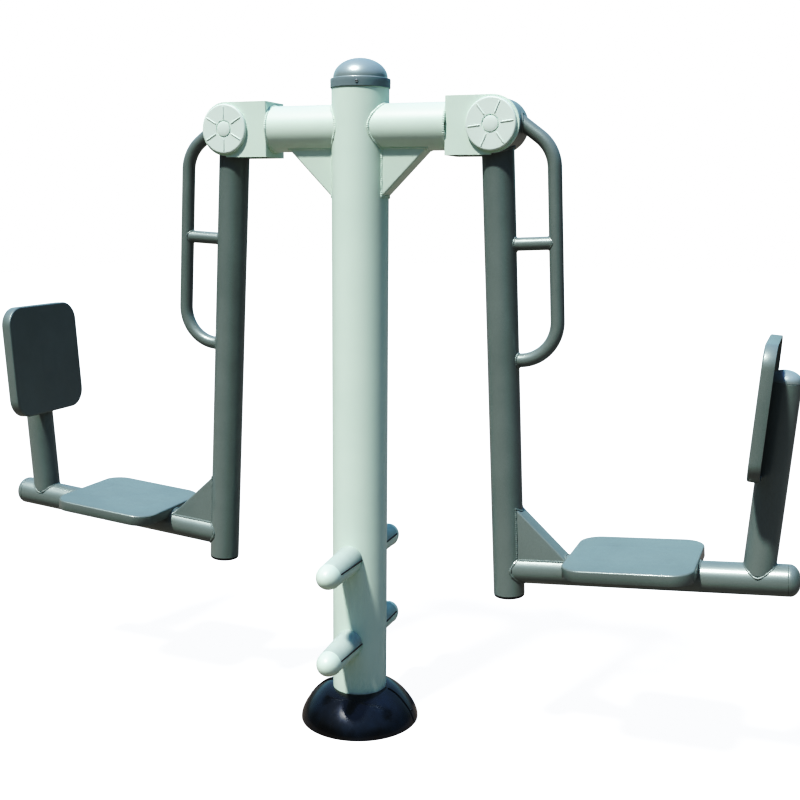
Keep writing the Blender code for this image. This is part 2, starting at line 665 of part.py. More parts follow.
def build_seat_tube(label, side, seat, arm_cutter):
    tube = pipe(f"seat_tube_{label}", SEAT_TUBE_RADIUS, TUBE_WALL, SEAT_TUBE_END, ROUND, GRAPHITE,
                parent=seat, rotation=(0, side * 90, 0))
    cut(tube, arm_cutter)
    dome_cap(f"seat_tube_cap_{label}", SEAT_TUBE_RADIUS, TUBE_WALL, SEAT_DOME, GRAPHITE,
             parent=seat, location=(side * SEAT_TUBE_END, 0, 0), rotation=(0, side * 90, 0))
    return cylinder_cutter(f"seat_tube_space_{label}", SEAT_TUBE_RADIUS + WELD_GAP, SEAT_TUBE_END,
                           ROUND, parent=seat, rotation=(0, side * 90, 0))


def build_back_tube(label, back, seat_tube_cutter):
    tube = pipe(f"back_tube_{label}", BACK_RADIUS, TUBE_WALL, BACK_TUBE_END, ROUND, GRAPHITE, parent=back)
    cut(tube, seat_tube_cutter)
    dome_cap(f"back_tube_cap_{label}", BACK_RADIUS, TUBE_WALL, BACK_DOME, DOME_GREY,
             parent=back, location=(0, 0, BACK_TUBE_END))
    return cylinder_cutter(f"back_tube_space_{label}", BACK_RADIUS + WELD_GAP, BACK_TUBE_END, ROUND,
                           parent=back)


def tray_mesh(name, length, width, corner):
    """A pressed sheet, face up at z = 0, with round corners and a turned-down skirt."""
    bm = bmesh.new()
    place = Matrix.Translation((0, 0, -PAN_SKIRT / 2)) @ Matrix.Diagonal((length, width, PAN_SKIRT, 1))
    bmesh.ops.create_cube(bm, size=1.0, matrix=place)
    upright = [edge for edge in bm.edges if abs(edge.verts[0].co.z - edge.verts[1].co.z) > 0.001]
    bmesh.ops.bevel(bm, geom=upright, offset=corner, segments=6, profile=0.5, affect="EDGES")
    under = [face for face in bm.faces if face.normal.z < -0.5]
    bmesh.ops.delete(bm, geom=under, context="FACES")
    brow = [edge for edge in bm.edges if all(abs(vert.co.z) < 1e-6 for vert in edge.verts)]
    bmesh.ops.bevel(bm, geom=brow, offset=PAN_EDGE_ROUND, segments=2, profile=0.5, affect="EDGES")
    return finish_mesh(name, bm)


def build_pans(label, side, seat, back, seat_tube_cutter, back_tube_cutter):
    """The seat and the backrest are pressed trays; their end skirts are notched over the tubes."""
    name = f"seat_pan_{label}"
    middle = side * (SEAT_PAN_START + SEAT_PAN_END) / 2
    mesh = tray_mesh(name, SEAT_PAN_END - SEAT_PAN_START, SEAT_PAN_WIDTH, SEAT_PAN_CORNER)
    pan = add_object(name, mesh, GRAPHITE, parent=seat, location=(middle, 0, SEAT_FACE))
    add_shell(pan, PAN_SHEET)
    cut(pan, seat_tube_cutter)
    name = f"back_pan_{label}"
    middle = (BACK_PAN_START + BACK_PAN_END) / 2
    mesh = tray_mesh(name, BACK_PAN_END - BACK_PAN_START, BACK_PAN_WIDTH, BACK_PAN_CORNER)
    pan = add_object(name, mesh, GRAPHITE, parent=back, location=(-side * BACK_FACE, 0, middle),
                     rotation=(0, -side * 90, 0))
    add_shell(pan, PAN_SHEET)
    cut(pan, back_tube_cutter)


def build_arm(label, side):
    """One swinging arm with its handle, seat and backrest, hung from its pivot."""
    pivot = add_frame(f"arm_{label}_pivot", None, (side * PIVOT_X, 0, PIVOT_Z))
    arm = add_frame(f"arm_{label}_axis", pivot, (0, 0, 0), -side * ARM_TILT)
    seat = add_frame(f"arm_{label}_seat", arm, (0, 0, -SEAT_AXIS_DROP), -side * SEAT_RISE)
    back = add_frame(f"arm_{label}_back", seat, (side * BACK_FOOT, 0, 0), side * BACK_LEAN)
    drum_cutter = build_drum(label, side, pivot)
    arm_cutter = build_arm_tube(label, arm, drum_cutter)
    build_handle(label, side, arm, drum_cutter, arm_cutter)
    seat_tube_cutter = build_seat_tube(label, side, seat, arm_cutter)
    back_tube_cutter = build_back_tube(label, back, seat_tube_cutter)
    build_pans(label, side, seat, back, seat_tube_cutter, back_tube_cutter)
    drop = SEAT_AXIS_DROP - ARM_GUSSET_TOP
    corner = [(0, -ARM_GUSSET_TOP), (side * drop, -SEAT_AXIS_DROP), (0, -SEAT_AXIS_DROP)]
    gusset = folded_gusset(f"arm_gusset_{label}", corner, GRAPHITE, arm)
    cut(gusset, arm_cutter, seat_tube_cutter)
    build_shaft(label, pivot)
    build_pivot_covers(label, pivot)
    build_buffer(label, side, pivot)


def build_machine():
    build_flange()
    build_base_cover()
    peg_cutters = build_pegs()
    post_cutter = build_post(peg_cutters)
    build_treads(post_cutter, peg_cutters)
    build_post_cap()
    for label, side in SIDES.items():
        build_crossarm(label, side, post_cutter)
        build_bracket(label, side)
        build_arm(label, side)


build_machine()
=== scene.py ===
"""Looks of the outdoor double leg press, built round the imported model.

Metres. +X runs to the right-hand seat and -Y is the front, as in the CAD part.
"""

import json
import math

import bmesh
import bpy
from mathutils import Matrix, Vector, noise


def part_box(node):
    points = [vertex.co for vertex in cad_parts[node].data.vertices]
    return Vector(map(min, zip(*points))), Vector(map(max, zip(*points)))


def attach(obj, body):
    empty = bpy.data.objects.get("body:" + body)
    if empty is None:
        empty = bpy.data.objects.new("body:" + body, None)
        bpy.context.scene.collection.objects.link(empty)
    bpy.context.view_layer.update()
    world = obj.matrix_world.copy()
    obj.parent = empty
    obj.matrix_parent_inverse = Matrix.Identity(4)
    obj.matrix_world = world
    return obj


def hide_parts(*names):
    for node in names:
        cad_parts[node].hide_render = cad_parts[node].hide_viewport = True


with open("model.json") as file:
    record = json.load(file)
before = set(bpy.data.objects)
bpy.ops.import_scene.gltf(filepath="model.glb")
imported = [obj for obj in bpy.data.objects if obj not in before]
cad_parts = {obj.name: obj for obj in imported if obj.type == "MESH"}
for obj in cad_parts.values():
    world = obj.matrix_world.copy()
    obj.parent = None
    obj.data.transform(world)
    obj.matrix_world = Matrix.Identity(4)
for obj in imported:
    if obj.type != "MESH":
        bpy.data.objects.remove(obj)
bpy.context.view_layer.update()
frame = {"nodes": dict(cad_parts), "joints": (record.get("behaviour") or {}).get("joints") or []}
SIDES = {"left": -1, "right": 1}
ENDS = {"front": -1, "rear": 1}

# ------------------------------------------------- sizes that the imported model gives
POST_LOW, POST_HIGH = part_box("main_post")
POST_RADIUS = POST_HIGH.x
COVER_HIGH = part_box("base_cover_rear")[1]
CAP_LOW, CAP_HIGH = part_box("post_cap")
CROSSARM_LOW, CROSSARM_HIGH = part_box("crossarm_right")
CROSSARM_RADIUS = CROSSARM_HIGH.y
BRACKET_LOW, BRACKET_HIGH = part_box("pivot_bracket_right")
PIVOTS = {joint["child"]: Vector(joint["pos_m"]) for joint in frame["joints"]}
DRUM_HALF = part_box("hub_drum_right")[1].y

# ------------------------------------------- sizes in the tilted arms, as in the part
ARM_TILT = 2.85
ARM_RADIUS = 0.0380
ARM_BOTTOM = 1.126
SEAT_DROP = 1.061
SEAT_RISE = 1.70
SEAT_RADIUS = 0.0365
SEAT_END = 0.652
BACK_FOOT = 0.585
BACK_LEAN = 8.40
BACK_RADIUS = 0.0359
BACK_END = 0.455
SEAT_FACE = 0.0454
SEAT_PAN_START = 0.1575
SEAT_PAN_END = 0.4585
SEAT_PAN_WIDTH = 0.297
BACK_FACE = 0.0480
BACK_PAN_START = 0.2430
BACK_PAN_END = 0.5460
BACK_PAN_WIDTH = 0.282
PAN_CORNER = 0.052
PAN_SKIRT = 0.027
SEAT_CREASES = (-0.062, 0.062)
SEAT_CREASE_DEPTH = 0.0006
BACK_CREASES = (-0.026, 0.026)
BACK_CREASE_DEPTH = 0.0005
SEAT_CAP_RISE = 0.026
BACK_CAP_RISE = 0.027
HANDLE_RADIUS = 0.0165
HANDLE_OFFSET = 0.1335
HANDLE_BEND = 0.092
HANDLE_SLOPE = 39.6
HANDLE_TOP = 0.0600
HANDLE_FOOT = 0.548
HANDLE_RUN = 0.105
HANDLE_FOOT_X = 0.020
STRUT_DROP = 0.2745
STRUT_RADIUS = 0.0155
DRUM_RADIUS = 0.0635
GUSSET_HALF = 0.025
CROSSARM_GUSSET_LEG = 0.2315
ARM_GUSSET_LEG = 0.184
TUBE_WALL = 0.003
STRUT_WALL = 0.0025
LUG_REACH = 0.094
LUG_HALF_WIDTH = 0.016
LUG_HALF_HEIGHT = 0.008

# ------------------------------------------------------ sizes of the fixed pieces' detail
POST_WALL = 0.004
COVER_REACH = 0.0378
COVER_RISE = 0.0288
COVER_SHEET = 0.0028
COVER_WAVE = 0.0011
SEAM_GAP = 0.0004
LAP_RISE = 0.0022
LAP_TUCK = 0.0006
DOME_RADIUS = 0.0657
DOME_SHEET = 0.003
BAND_HEIGHT = 0.022
BAND_FLOOR = 0.003
EAR_PLATE = 0.006
FRONT_EAR_RADIUS = 0.0655
REAR_EAR_RADIUS = 0.0590
PIVOT_COVER_DEPTH = 0.0100
PIVOT_COVER_TURN = {"left": 30.0, "right": 7.0}
RIB_RADIUS = 0.0020
RIB_END_RADIUS = 0.0012
TREAD_LIFT = 0.0095
TREAD_RADIUS = 0.0335
TREAD_EDGE = 0.009
TREAD_TAPER = 0.0022
TREAD_RIB_PITCH = 0.0072
TREAD_RIB_DEPTH = 0.0007
# Dark strips under the tread edges: painted shade for the gap under each edge.
SHADE_STRIP_RADIUS = 0.0017
SHADE_STRIP_DROP = 0.0012
MERGE_DISTANCE = 0.000001

# ------------------------------------------------------------- light, room and camera
KEY_ENERGY = 4.4
KEY_COLOUR = (1.0, 0.975, 0.93)
KEY_SIZE = 4.0
KEY_DIRECTION = (0.35, 1.0, -1.75)
BOUNCE_COLOUR = (0.205, 0.175, 0.15)
FLOOR_GLOW = 1.15
FLOOR_X = (-14, 14)
FLOOR_Y = (-9, 22)
# Colours by height, 0 straight down, 0.5 the horizon and 1 straight up.
NEAR_ROOM = ((0.0, (0.20, 0.17, 0.15)), (0.43, (0.15, 0.13, 0.10)), (0.49, (0.05, 0.05, 0.04)),
             (0.64, (0.05, 0.065, 0.06)), (0.76, (0.28, 0.42, 0.62)), (1.0, (0.36, 0.53, 0.88)))
FAR_ROOM = ((0.0, (0.20, 0.17, 0.15)), (0.47, (0.12, 0.11, 0.09)), (0.50, (0.07, 0.08, 0.07)),
            (0.54, (0.36, 0.52, 0.54)), (0.60, (0.42, 0.66, 0.76)), (0.76, (0.26, 0.44, 0.64)),
            (1.0, (0.36, 0.53, 0.84)))
FAR_DIRECTION = (-0.36, 0.93, 0.0)
CAMERA_PLACE = (1.09349, -2.54848, 1.32969)
CAMERA_ANGLES = (21.14, -9.86, 0.42)
CAMERA_LENS = 50.085
# The film curve: scene light and what is shown for it.
WHITE = 1.5
TONE = ((0.0, 0.0), (0.05, 0.018), (0.10, 0.055), (0.15, 0.13), (0.22, 0.235), (0.30, 0.35), (0.40, 0.48),
        (0.53, 0.61), (0.70, 0.74), (1.0, 0.90), (WHITE, 1.0))


# --------------------------------------------------------------------------- shapes
def skin(bm, rings, wrap=True, loop=False, start_cap=False, end_cap=False):
    """Joins rings of points; wrap closes each ring, loop joins the last to the first."""
    rows = [[bm.verts.new(point) for point in ring] for ring in rings]
    pairs = list(zip(rows, rows[1:]))
    if loop:
        pairs.append((rows[-1], rows[0]))
    for near, far in pairs:
        for i in range(len(near) if wrap else len(near) - 1):
            j = (i + 1) % len(near)
            bm.faces.new((near[i], near[j], far[j], far[i]))
    if start_cap:
        bm.faces.new(list(reversed(rows[0])))
    if end_cap:
        bm.faces.new(rows[-1])


def arc(centre, radius, start, end, steps):
    """Points on an arc in a plane, angles in degrees."""
    turns = [math.radians(start + (end - start) * i / steps) for i in range(steps + 1)]
    return [(centre[0] + radius * math.cos(t), centre[1] + radius * math.sin(t)) for t in turns]


def turned(bm, place, profile, steps, closed=False, start=0.0, sweep=360.0):
    """A profile of (radius, height) points turned about the place's Z axis."""
    full = sweep == 360.0
    rings = []
    for i in range(steps if full else steps + 1):
        turn = math.radians(start + sweep * i / steps)
        c, s = math.cos(turn), math.sin(turn)
        rings.append([place @ Vector((r * c, r * s, h)) for r, h in profile])
    skin(bm, rings, wrap=closed, loop=full)


def tube(bm, place, radius, low, high, steps=72, wall=0.0035, edge=0.0008):
    """A round tube along the place's Z axis with softened rims."""
    inner = radius - wall
    profile = [(radius, low + edge), (radius, high - edge), (radius - edge, high),
               (inner, high), (inner, low), (radius - edge, low)]
    turned(bm, place, profile, steps, closed=True)


def spaced(points, step):
    """The path of points again, with a point about every step."""
    points = [Vector(p) for p in points]
    lengths = [(b - a).length for a, b in zip(points, points[1:])]
    total = sum(lengths)
    count = max(2, round(total / step))
    result, index, done = [], 0, 0.0
    for i in range(count + 1):
        target = min(total * i / count, total - 1e-9)
        while done + lengths[index] < target:
            done += lengths[index]
            index += 1
        share = (target - done) / lengths[index]
        result.append(points[index].lerp(points[index + 1], share))
    return result


def bar(bm, path, radii, sides=16, caps=True):
    """A round bar along a path, with a radius at each point."""
    tangents = []
    for i in range(len(path)):
        ahead, behind = path[min(i + 1, len(path) - 1)], path[max(i - 1, 0)]
        tangents.append((ahead - behind).normalized())
    normal = tangents[0].orthogonal().normalized()
    rings = []
    for i, (point, tangent, radius) in enumerate(zip(path, tangents, radii)):
        if i:
            normal = tangents[i - 1].rotation_difference(tangent) @ normal
        side = tangent.cross(normal)
        ring = []
        for k in range(sides):
            turn = math.tau * k / sides
            ring.append(point + radius * (math.cos(turn) * normal + math.sin(turn) * side))
        rings.append(ring)
    skin(bm, rings, start_cap=caps, end_cap=caps)


def weld(bm, path, radius=0.0034, pitch=0.0050, ripple=0.30):
    """A weld bead: overlapping ripples of slightly uneven width along the joint."""
    path = spaced(path, pitch / 4)
    radii = []
    for i, point in enumerate(path):
        wave = abs(math.sin(math.pi * i / 4))
        uneven = noise.noise(point * 90.0)
        radii.append(radius * (1.02 - ripple + ripple * wave + 0.34 * uneven))
    radii[0] *= 0.5
    radii[-1] *= 0.5
    bar(bm, path, radii, sides=8)


def joint_curve(branch, branch_radius, main, main_radius, steps=96):
    """Where a branch tube's wall comes out of a main tube; both run along their Z."""
    to_main = main.inverted() @ branch
    direction = to_main.to_3x3() @ Vector((0, 0, 1))
    points = []
    for i in range(steps + 1):
        turn = math.tau * i / steps
        origin = to_main @ Vector((branch_radius * math.cos(turn), branch_radius * math.sin(turn), 0))
        a = direction.x ** 2 + direction.y ** 2
        b = origin.x * direction.x + origin.y * direction.y
        c = origin.x ** 2 + origin.y ** 2 - main_radius ** 2
        reach = (math.sqrt(max(b * b - a * c, 0.0)) - b) / a
        points.append(main @ (origin + direction * reach))
    return points


def circle(place, radius, height, steps=72):
    turns = [math.tau * i / steps for i in range(steps + 1)]
    return [place @ Vector((radius * math.cos(t), radius * math.sin(t), height)) for t in turns]


def saddle(place, radius, height, middle, reach):
    """An arc over a tube, centred on one bearing about its axis; angles in degrees."""
    turns = [math.radians(middle + reach * k / 20) for k in range(-20, 21)]
    return [place @ Vector((radius * math.cos(t), radius * math.sin(t), height)) for t in turns]


def bend(before, corner, after, radius, steps=20):
    """Points along the arc that rounds a corner of a path."""
    arrive = (corner - before).normalized()
    leave = (after - corner).normalized()
    turn = arrive.angle(leave)
    centre = corner + (leave - arrive).normalized() * radius / math.cos(turn / 2)
    start = corner - arrive * radius * math.tan(turn / 2) - centre
    axis = arrive.cross(leave).normalized()
    return [centre + Matrix.Rotation(turn * i / steps, 3, axis) @ start for i in range(steps + 1)]


def rounded_box(half_x, half_y, radius, steps=12):
    """The outline of a rectangle with round corners, about its centre."""
    outline = []
    for quarter, (sx, sy) in enumerate(((1, 1), (-1, 1), (-1, -1), (1, -1))):
        centre = (sx * (half_x - radius), sy * (half_y - radius))
        outline += arc(centre, radius, 90 * quarter, 90 * quarter + 90, steps)
    return outline


def piece(name, bm, look, body, nodes=(), sharp=38.0, bevel=0.0):
    """Makes the mesh an object with its material, riding on its body."""
    bmesh.ops.remove_doubles(bm, verts=bm.verts, dist=MERGE_DISTANCE)
    bmesh.ops.recalc_face_normals(bm, faces=bm.faces)
    mesh = bpy.data.meshes.new(name)
    bm.to_mesh(mesh)
    bm.free()
    mesh.shade_smooth()
    mesh.set_sharp_from_angle(angle=math.radians(sharp))
    material, slot = LOOKS[look]
    mesh.materials.append(material)
    obj = bpy.data.objects.new(name, mesh)
    bpy.context.scene.collection.objects.link(obj)
    if bevel:
        soften = obj.modifiers.new("Bevel", "BEVEL")
        soften.width = bevel
        soften.segments = 2
        soften.limit_method = "ANGLE"
        soften.angle_limit = math.radians(35)
    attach(obj, body)
    if nodes:
        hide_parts(*nodes)
    return obj


# ------------------------------------------------------------------------ materials
class Look:
    """A small helper that wires one procedural material."""

    def __init__(self, name):
        self.material = bpy.data.materials.new(name)
        self.material.use_nodes = True
        self.nodes = self.material.node_tree.nodes
        self.links = self.material.node_tree.links
        self.shader = self.nodes["Principled BSDF"]
        self.coordinates = self.nodes.new("ShaderNodeTexCoord").outputs["Object"]

    def noise(self, scale, detail=2.0, roughness=0.5, stretch=None):
        source = self.coordinates
        if stretch:
            mapping = self.nodes.new("ShaderNodeMapping")
            mapping.inputs["Scale"].default_value = stretch
            self.links.new(source, mapping.inputs["Vector"])
            source = mapping.outputs["Vector"]
        node = self.nodes.new("ShaderNodeTexNoise")
        node.inputs["Scale"].default_value = scale
        node.inputs["Detail"].default_value = detail
        node.inputs["Roughness"].default_value = roughness
        self.links.new(source, node.inputs["Vector"])
        return node.outputs["Fac"]

    def ramp(self, factor, *stops):
        node = self.nodes.new("ShaderNodeValToRGB")
        elements = node.color_ramp.elements
        while len(elements) < len(stops):
            elements.new(0.5)
        for element, (position, colour) in zip(elements, stops):
            element.position = position
            element.color = (*colour, 1.0)
        self.links.new(factor, node.inputs["Fac"])
        return node.outputs["Color"]

    def blend(self, factor, first, second, mode="MIX"):
        node = self.nodes.new("ShaderNodeMix")
        node.data_type = "RGBA"
        node.blend_type = mode
        for value, socket in ((factor, node.inputs[0]), (first, node.inputs[6]), (second, node.inputs[7])):
            if isinstance(value, bpy.types.NodeSocket):
                self.links.new(value, socket)
            elif isinstance(value, float):
                socket.default_value = value
            else:
                socket.default_value = (*value, 1.0)
        return node.outputs[2]

    def spread(self, value, low, high, start=0.3, end=0.7):
        node = self.nodes.new("ShaderNodeMapRange")
        node.inputs["From Min"].default_value = start
        node.inputs["From Max"].default_value = end
        node.inputs["To Min"].default_value = low
        node.inputs["To Max"].default_value = high
        self.links.new(value, node.inputs["Value"])
        return node.outputs["Result"]

    def bump(self, height, strength, distance, below=None):
        node = self.nodes.new("ShaderNodeBump")
        node.inputs["Strength"].default_value = strength
        node.inputs["Distance"].default_value = distance
        self.links.new(height, node.inputs["Height"])
        if below is not None:
            self.links.new(below, node.inputs["Normal"])
        return node.outputs["Normal"]

    def finish(self, colour, roughness, normal, metallic=0.0, **constants):
        self.links.new(colour, self.shader.inputs["Base Color"])
        self.links.new(roughness, self.shader.inputs["Roughness"])
        self.links.new(normal, self.shader.inputs["Normal"])
        self.shader.inputs["Metallic"].default_value = metallic
        for name, value in constants.items():
            self.shader.inputs[name.replace("_", " ")].default_value = value
        return self.material


def powder_coat(name, pale, deep, rough, metallic=0.0, flake=0.04, peel=0.10, **constants):
    """Sprayed and baked coat: cloudy tone, fine speckle and an orange-peel surface."""
    look = Look(name)
    cloud = look.noise(5.0, 3.0, 0.6)
    tone = look.ramp(cloud, (0.36, deep), (0.64, pale))
    speck = look.ramp(look.noise(1500.0, 1.0), (0.35, (1 - flake,) * 3), (0.65, (1 + flake,) * 3))
    colour = look.blend(1.0, tone, speck, "MULTIPLY")
    roughness = look.spread(look.noise(14.0, 4.0, 0.6), rough - 0.04, rough + 0.05)
    peeled = look.bump(look.noise(360.0, 2.0, 0.45), peel, 0.0006)
    normal = look.bump(look.noise(35.0, 1.0), 0.05, 0.003, below=peeled)
    return look.finish(colour, roughness, normal, metallic, **constants)


def moulded_plastic(name, pale, deep, rough, **constants):
    """Injection-moulded plastic with a fine spark-eroded grain."""
    look = Look(name)
    tone = look.ramp(look.noise(9.0, 3.0), (0.38, deep), (0.62, pale))
    roughness = look.spread(look.noise(40.0, 3.0), rough - 0.04, rough + 0.06)
    normal = look.bump(look.noise(900.0, 2.0), 0.08, 0.0004)
    return look.finish(tone, roughness, normal, **constants)


def gloss_black(name):
    """Vacuum-formed black plastic: glossy, with faint random blue patches painted into its colour as a
    painted sky reflection, and rub marks.
    """
    look = Look(name)
    # Painted reflection: random patches tint the black towards sky blue.
    painted_blue_sheen = look.spread(look.noise(9.0, 4.0, 0.6), 0.0, 0.35, 0.42, 0.75)
    colour = look.blend(painted_blue_sheen, (0.004, 0.005, 0.006), (0.026, 0.06, 0.11))
    rubbed = look.noise(60.0, 5.0, 0.7, stretch=(1.0, 1.0, 0.25))
    roughness = look.spread(rubbed, 0.20, 0.30)
    normal = look.bump(look.noise(16.0, 1.0), 0.10, 0.004)
    return look.finish(colour, roughness, normal, IOR=1.5, Coat_Weight=0.4, Coat_Roughness=0.08)


def rubber(name):
    """Black rubber: dark, uneven and nearly matt."""
    look = Look(name)
    tone = look.ramp(look.noise(30.0, 4.0), (0.35, (0.010, 0.010, 0.011)), (0.7, (0.024, 0.024, 0.025)))
    roughness = look.spread(look.noise(70.0, 3.0), 0.55, 0.78)
    return look.finish(tone, roughness, look.bump(look.noise(700.0, 3.0), 0.20, 0.0005))


def bare_metal(name, pale, deep, rough):
    """Uncoated metal with faint turning marks."""
    look = Look(name)
    lathe = look.noise(220.0, 3.0, 0.6, stretch=(1.0, 6.0, 1.0))
    tone = look.ramp(lathe, (0.35, deep), (0.65, pale))
    roughness = look.spread(look.noise(90.0, 4.0), rough - 0.06, rough + 0.12)
    return look.finish(tone, roughness, look.bump(lathe, 0.08, 0.0003), metallic=1.0)


LOOKS = {
    "cream": (powder_coat("cream_coat_look", (0.615, 0.755, 0.645), (0.585, 0.725, 0.62), 0.42,
                          flake=0.02, Coat_Weight=0.2, Coat_Roughness=0.22), "cream_coat"),
    "graphite": (powder_coat("graphite_coat_look", (0.204, 0.246, 0.228), (0.182, 0.220, 0.204), 0.42,
                             metallic=0.3, flake=0.10, Coat_Weight=0.4, Coat_Roughness=0.18),
                 "graphite_coat"),
    "dome": (powder_coat("grey_dome_look", (0.325, 0.385, 0.375), (0.295, 0.355, 0.345), 0.36,
                         metallic=0.4, flake=0.03, peel=0.04, Coat_Weight=0.7, Coat_Roughness=0.24),
             "dome_grey"),
    "band": (moulded_plastic("grey_band_look", (0.22, 0.275, 0.285), (0.18, 0.235, 0.245), 0.40),
             "dome_grey"),
    "black": (gloss_black("black_gloss_look"), "black_gloss"),
    "plastic": (moulded_plastic("cream_plastic_look", (0.65, 0.77, 0.69), (0.62, 0.74, 0.66), 0.46,
                                Coat_Weight=0.1, Coat_Roughness=0.25), "cream_plastic"),
    "tread": (moulded_plastic("weathered_tread_look", (0.44, 0.53, 0.47), (0.36, 0.44, 0.39), 0.55),
              "cream_plastic"),
    "rubber": (rubber("black_rubber_look"), "black_rubber"),
    "steel": (bare_metal("plated_steel_look", (0.62, 0.62, 0.60), (0.50, 0.50, 0.49), 0.28),
              "plated_steel"),
    "bronze": (bare_metal("bronze_look", (0.52, 0.34, 0.15), (0.40, 0.25, 0.10), 0.34), "bronze"),
}
CARRIED = {"anchor_flange": "steel", "pivot_bolt": "steel", "pivot_nut": "steel",
           "hub_bush": "bronze", "stop_buffer": "rubber"}


def dress_frame():
    """The CAD nodes that stay get their detailed materials."""
    for name, obj in frame["nodes"].items():
        for start, look in CARRIED.items():
            if name.startswith(start):
                obj.material_slots[0].material = LOOKS[look][0]


# ------------------------------------------------------------------- post and base
def build_post():
    """The hollow round post."""
    bm = bmesh.new()
    tube(bm, Matrix.Identity(4), POST_RADIUS, POST_LOW.z, POST_HIGH.z, steps=128, wall=POST_WALL)
    piece("post_shell", bm, "cream", "root", ["main_post"])


def bezier(ends, share):
    """A point on the cubic curve with these four control points."""
    while len(ends) > 1:
        ends = [a.lerp(b, share) for a, b in zip(ends, ends[1:])]
    return ends[0]


def cover_profile():
    """The dome's outer skin from the post down, then its rim and inner skin."""
    neck = POST_RADIUS + 0.0004
    steps = 36
    ends = [Vector((neck, COVER_HIGH.z)), Vector((neck + COVER_REACH, COVER_HIGH.z)),
            Vector((COVER_HIGH.x, COVER_RISE)), Vector((COVER_HIGH.x, 0.0))]
    outer = [tuple(bezier(ends, i / steps)) for i in range(steps + 1)]
    inner = [(radius - COVER_SHEET, max(height - COVER_SHEET, 0.0)) for radius, height in reversed(outer[2:])]
    inner.append((neck, COVER_HIGH.z - 0.003))
    return outer + inner


def close_rims(bm):
    """Fills the open ends of a part-turned skin."""
    bmesh.ops.holes_fill(bm, edges=[edge for edge in bm.edges if edge.is_boundary], sides=0)


def build_base_cover():
    """Two glossy half shells with a lap joint and a screw at each side."""
    profile = cover_profile()
    for end, side in ENDS.items():
        bm = bmesh.new()
        place = Matrix.Translation((0, side * SEAM_GAP, 0))
        place = place @ Matrix.Rotation(0 if side > 0 else math.pi, 4, "Z")
        turned(bm, place, profile, 96, closed=True, sweep=180.0)
        close_rims(bm)
        for vert in bm.verts:
            flat = Vector((vert.co.x, vert.co.y, 0))
            if vert.co.z > 0.004 and flat.length > POST_RADIUS + 0.004:
                sample = Vector((vert.co.x * 13, vert.co.y * 13, vert.co.z * 17))
                wave = noise.noise(sample + Vector((3.1, 1.7, 0.4)))
                vert.co += flat.normalized() * COVER_WAVE * wave
        piece(f"base_shell_{end}", bm, "black", "root", [f"base_cover_{end}"], sharp=45)
    outer = [Vector((radius, height)) for radius, height in profile[2:35]]
    for label, side in SIDES.items():
        strip = []
        for before, point, after in zip(outer, outer[1:], outer[2:]):
            along = (after - before).normalized()
            strip.append((point, Vector((-along.y, along.x))))
        lap = [tuple(point + away * LAP_RISE) for point, away in strip]
        lap += [tuple(point - away * LAP_TUCK) for point, away in reversed(strip)]
        bm = bmesh.new()
        place = Matrix.Rotation(math.radians(90 - 90 * side), 4, "Z")
        turned(bm, place, lap, 8, closed=True, start=0.4 if side > 0 else -7.4, sweep=7.0)
        close_rims(bm)
        point, away = strip[22]
        outwards = Vector((side * away.x, 0, away.y))
        face = outwards.to_track_quat("Z", "Y").to_matrix().to_4x4()
        screw = Matrix.Translation(Vector((side * point.x, 0, point.y)) + outwards * 0.0020) @ face
        cap_screw(bm, Matrix.Rotation(math.radians(side * 4.0), 4, "Z") @ screw)
        piece(f"base_lap_{label}", bm, "black", "root", ["base_cover_rear"], sharp=45)


def cap_screw(bm, place):
    """A pan head with a hexagon socket, standing on the place's XY plane."""
    rings = []
    for radius, height, hexed in ((0.0036, 0.0, 0), (0.0036, 0.0009, 0), (0.0031, 0.0017, 0),
                                  (0.0023, 0.0020, 0), (0.0018, 0.0019, 1), (0.0016, 0.0008, 1),
                                  (0.0004, 0.0006, 1)):
        ring = []
        for i in range(24):
            turn = math.tau * i / 24
            reach = radius
            if hexed:
                reach = radius * math.cos(math.pi / 6) / math.cos(math.fmod(turn, math.pi / 3) - math.pi / 6)
            ring.append(place @ Vector((reach * math.cos(turn), reach * math.sin(turn), height)))
        rings.append(ring)
    skin(bm, rings, start_cap=True, end_cap=True)


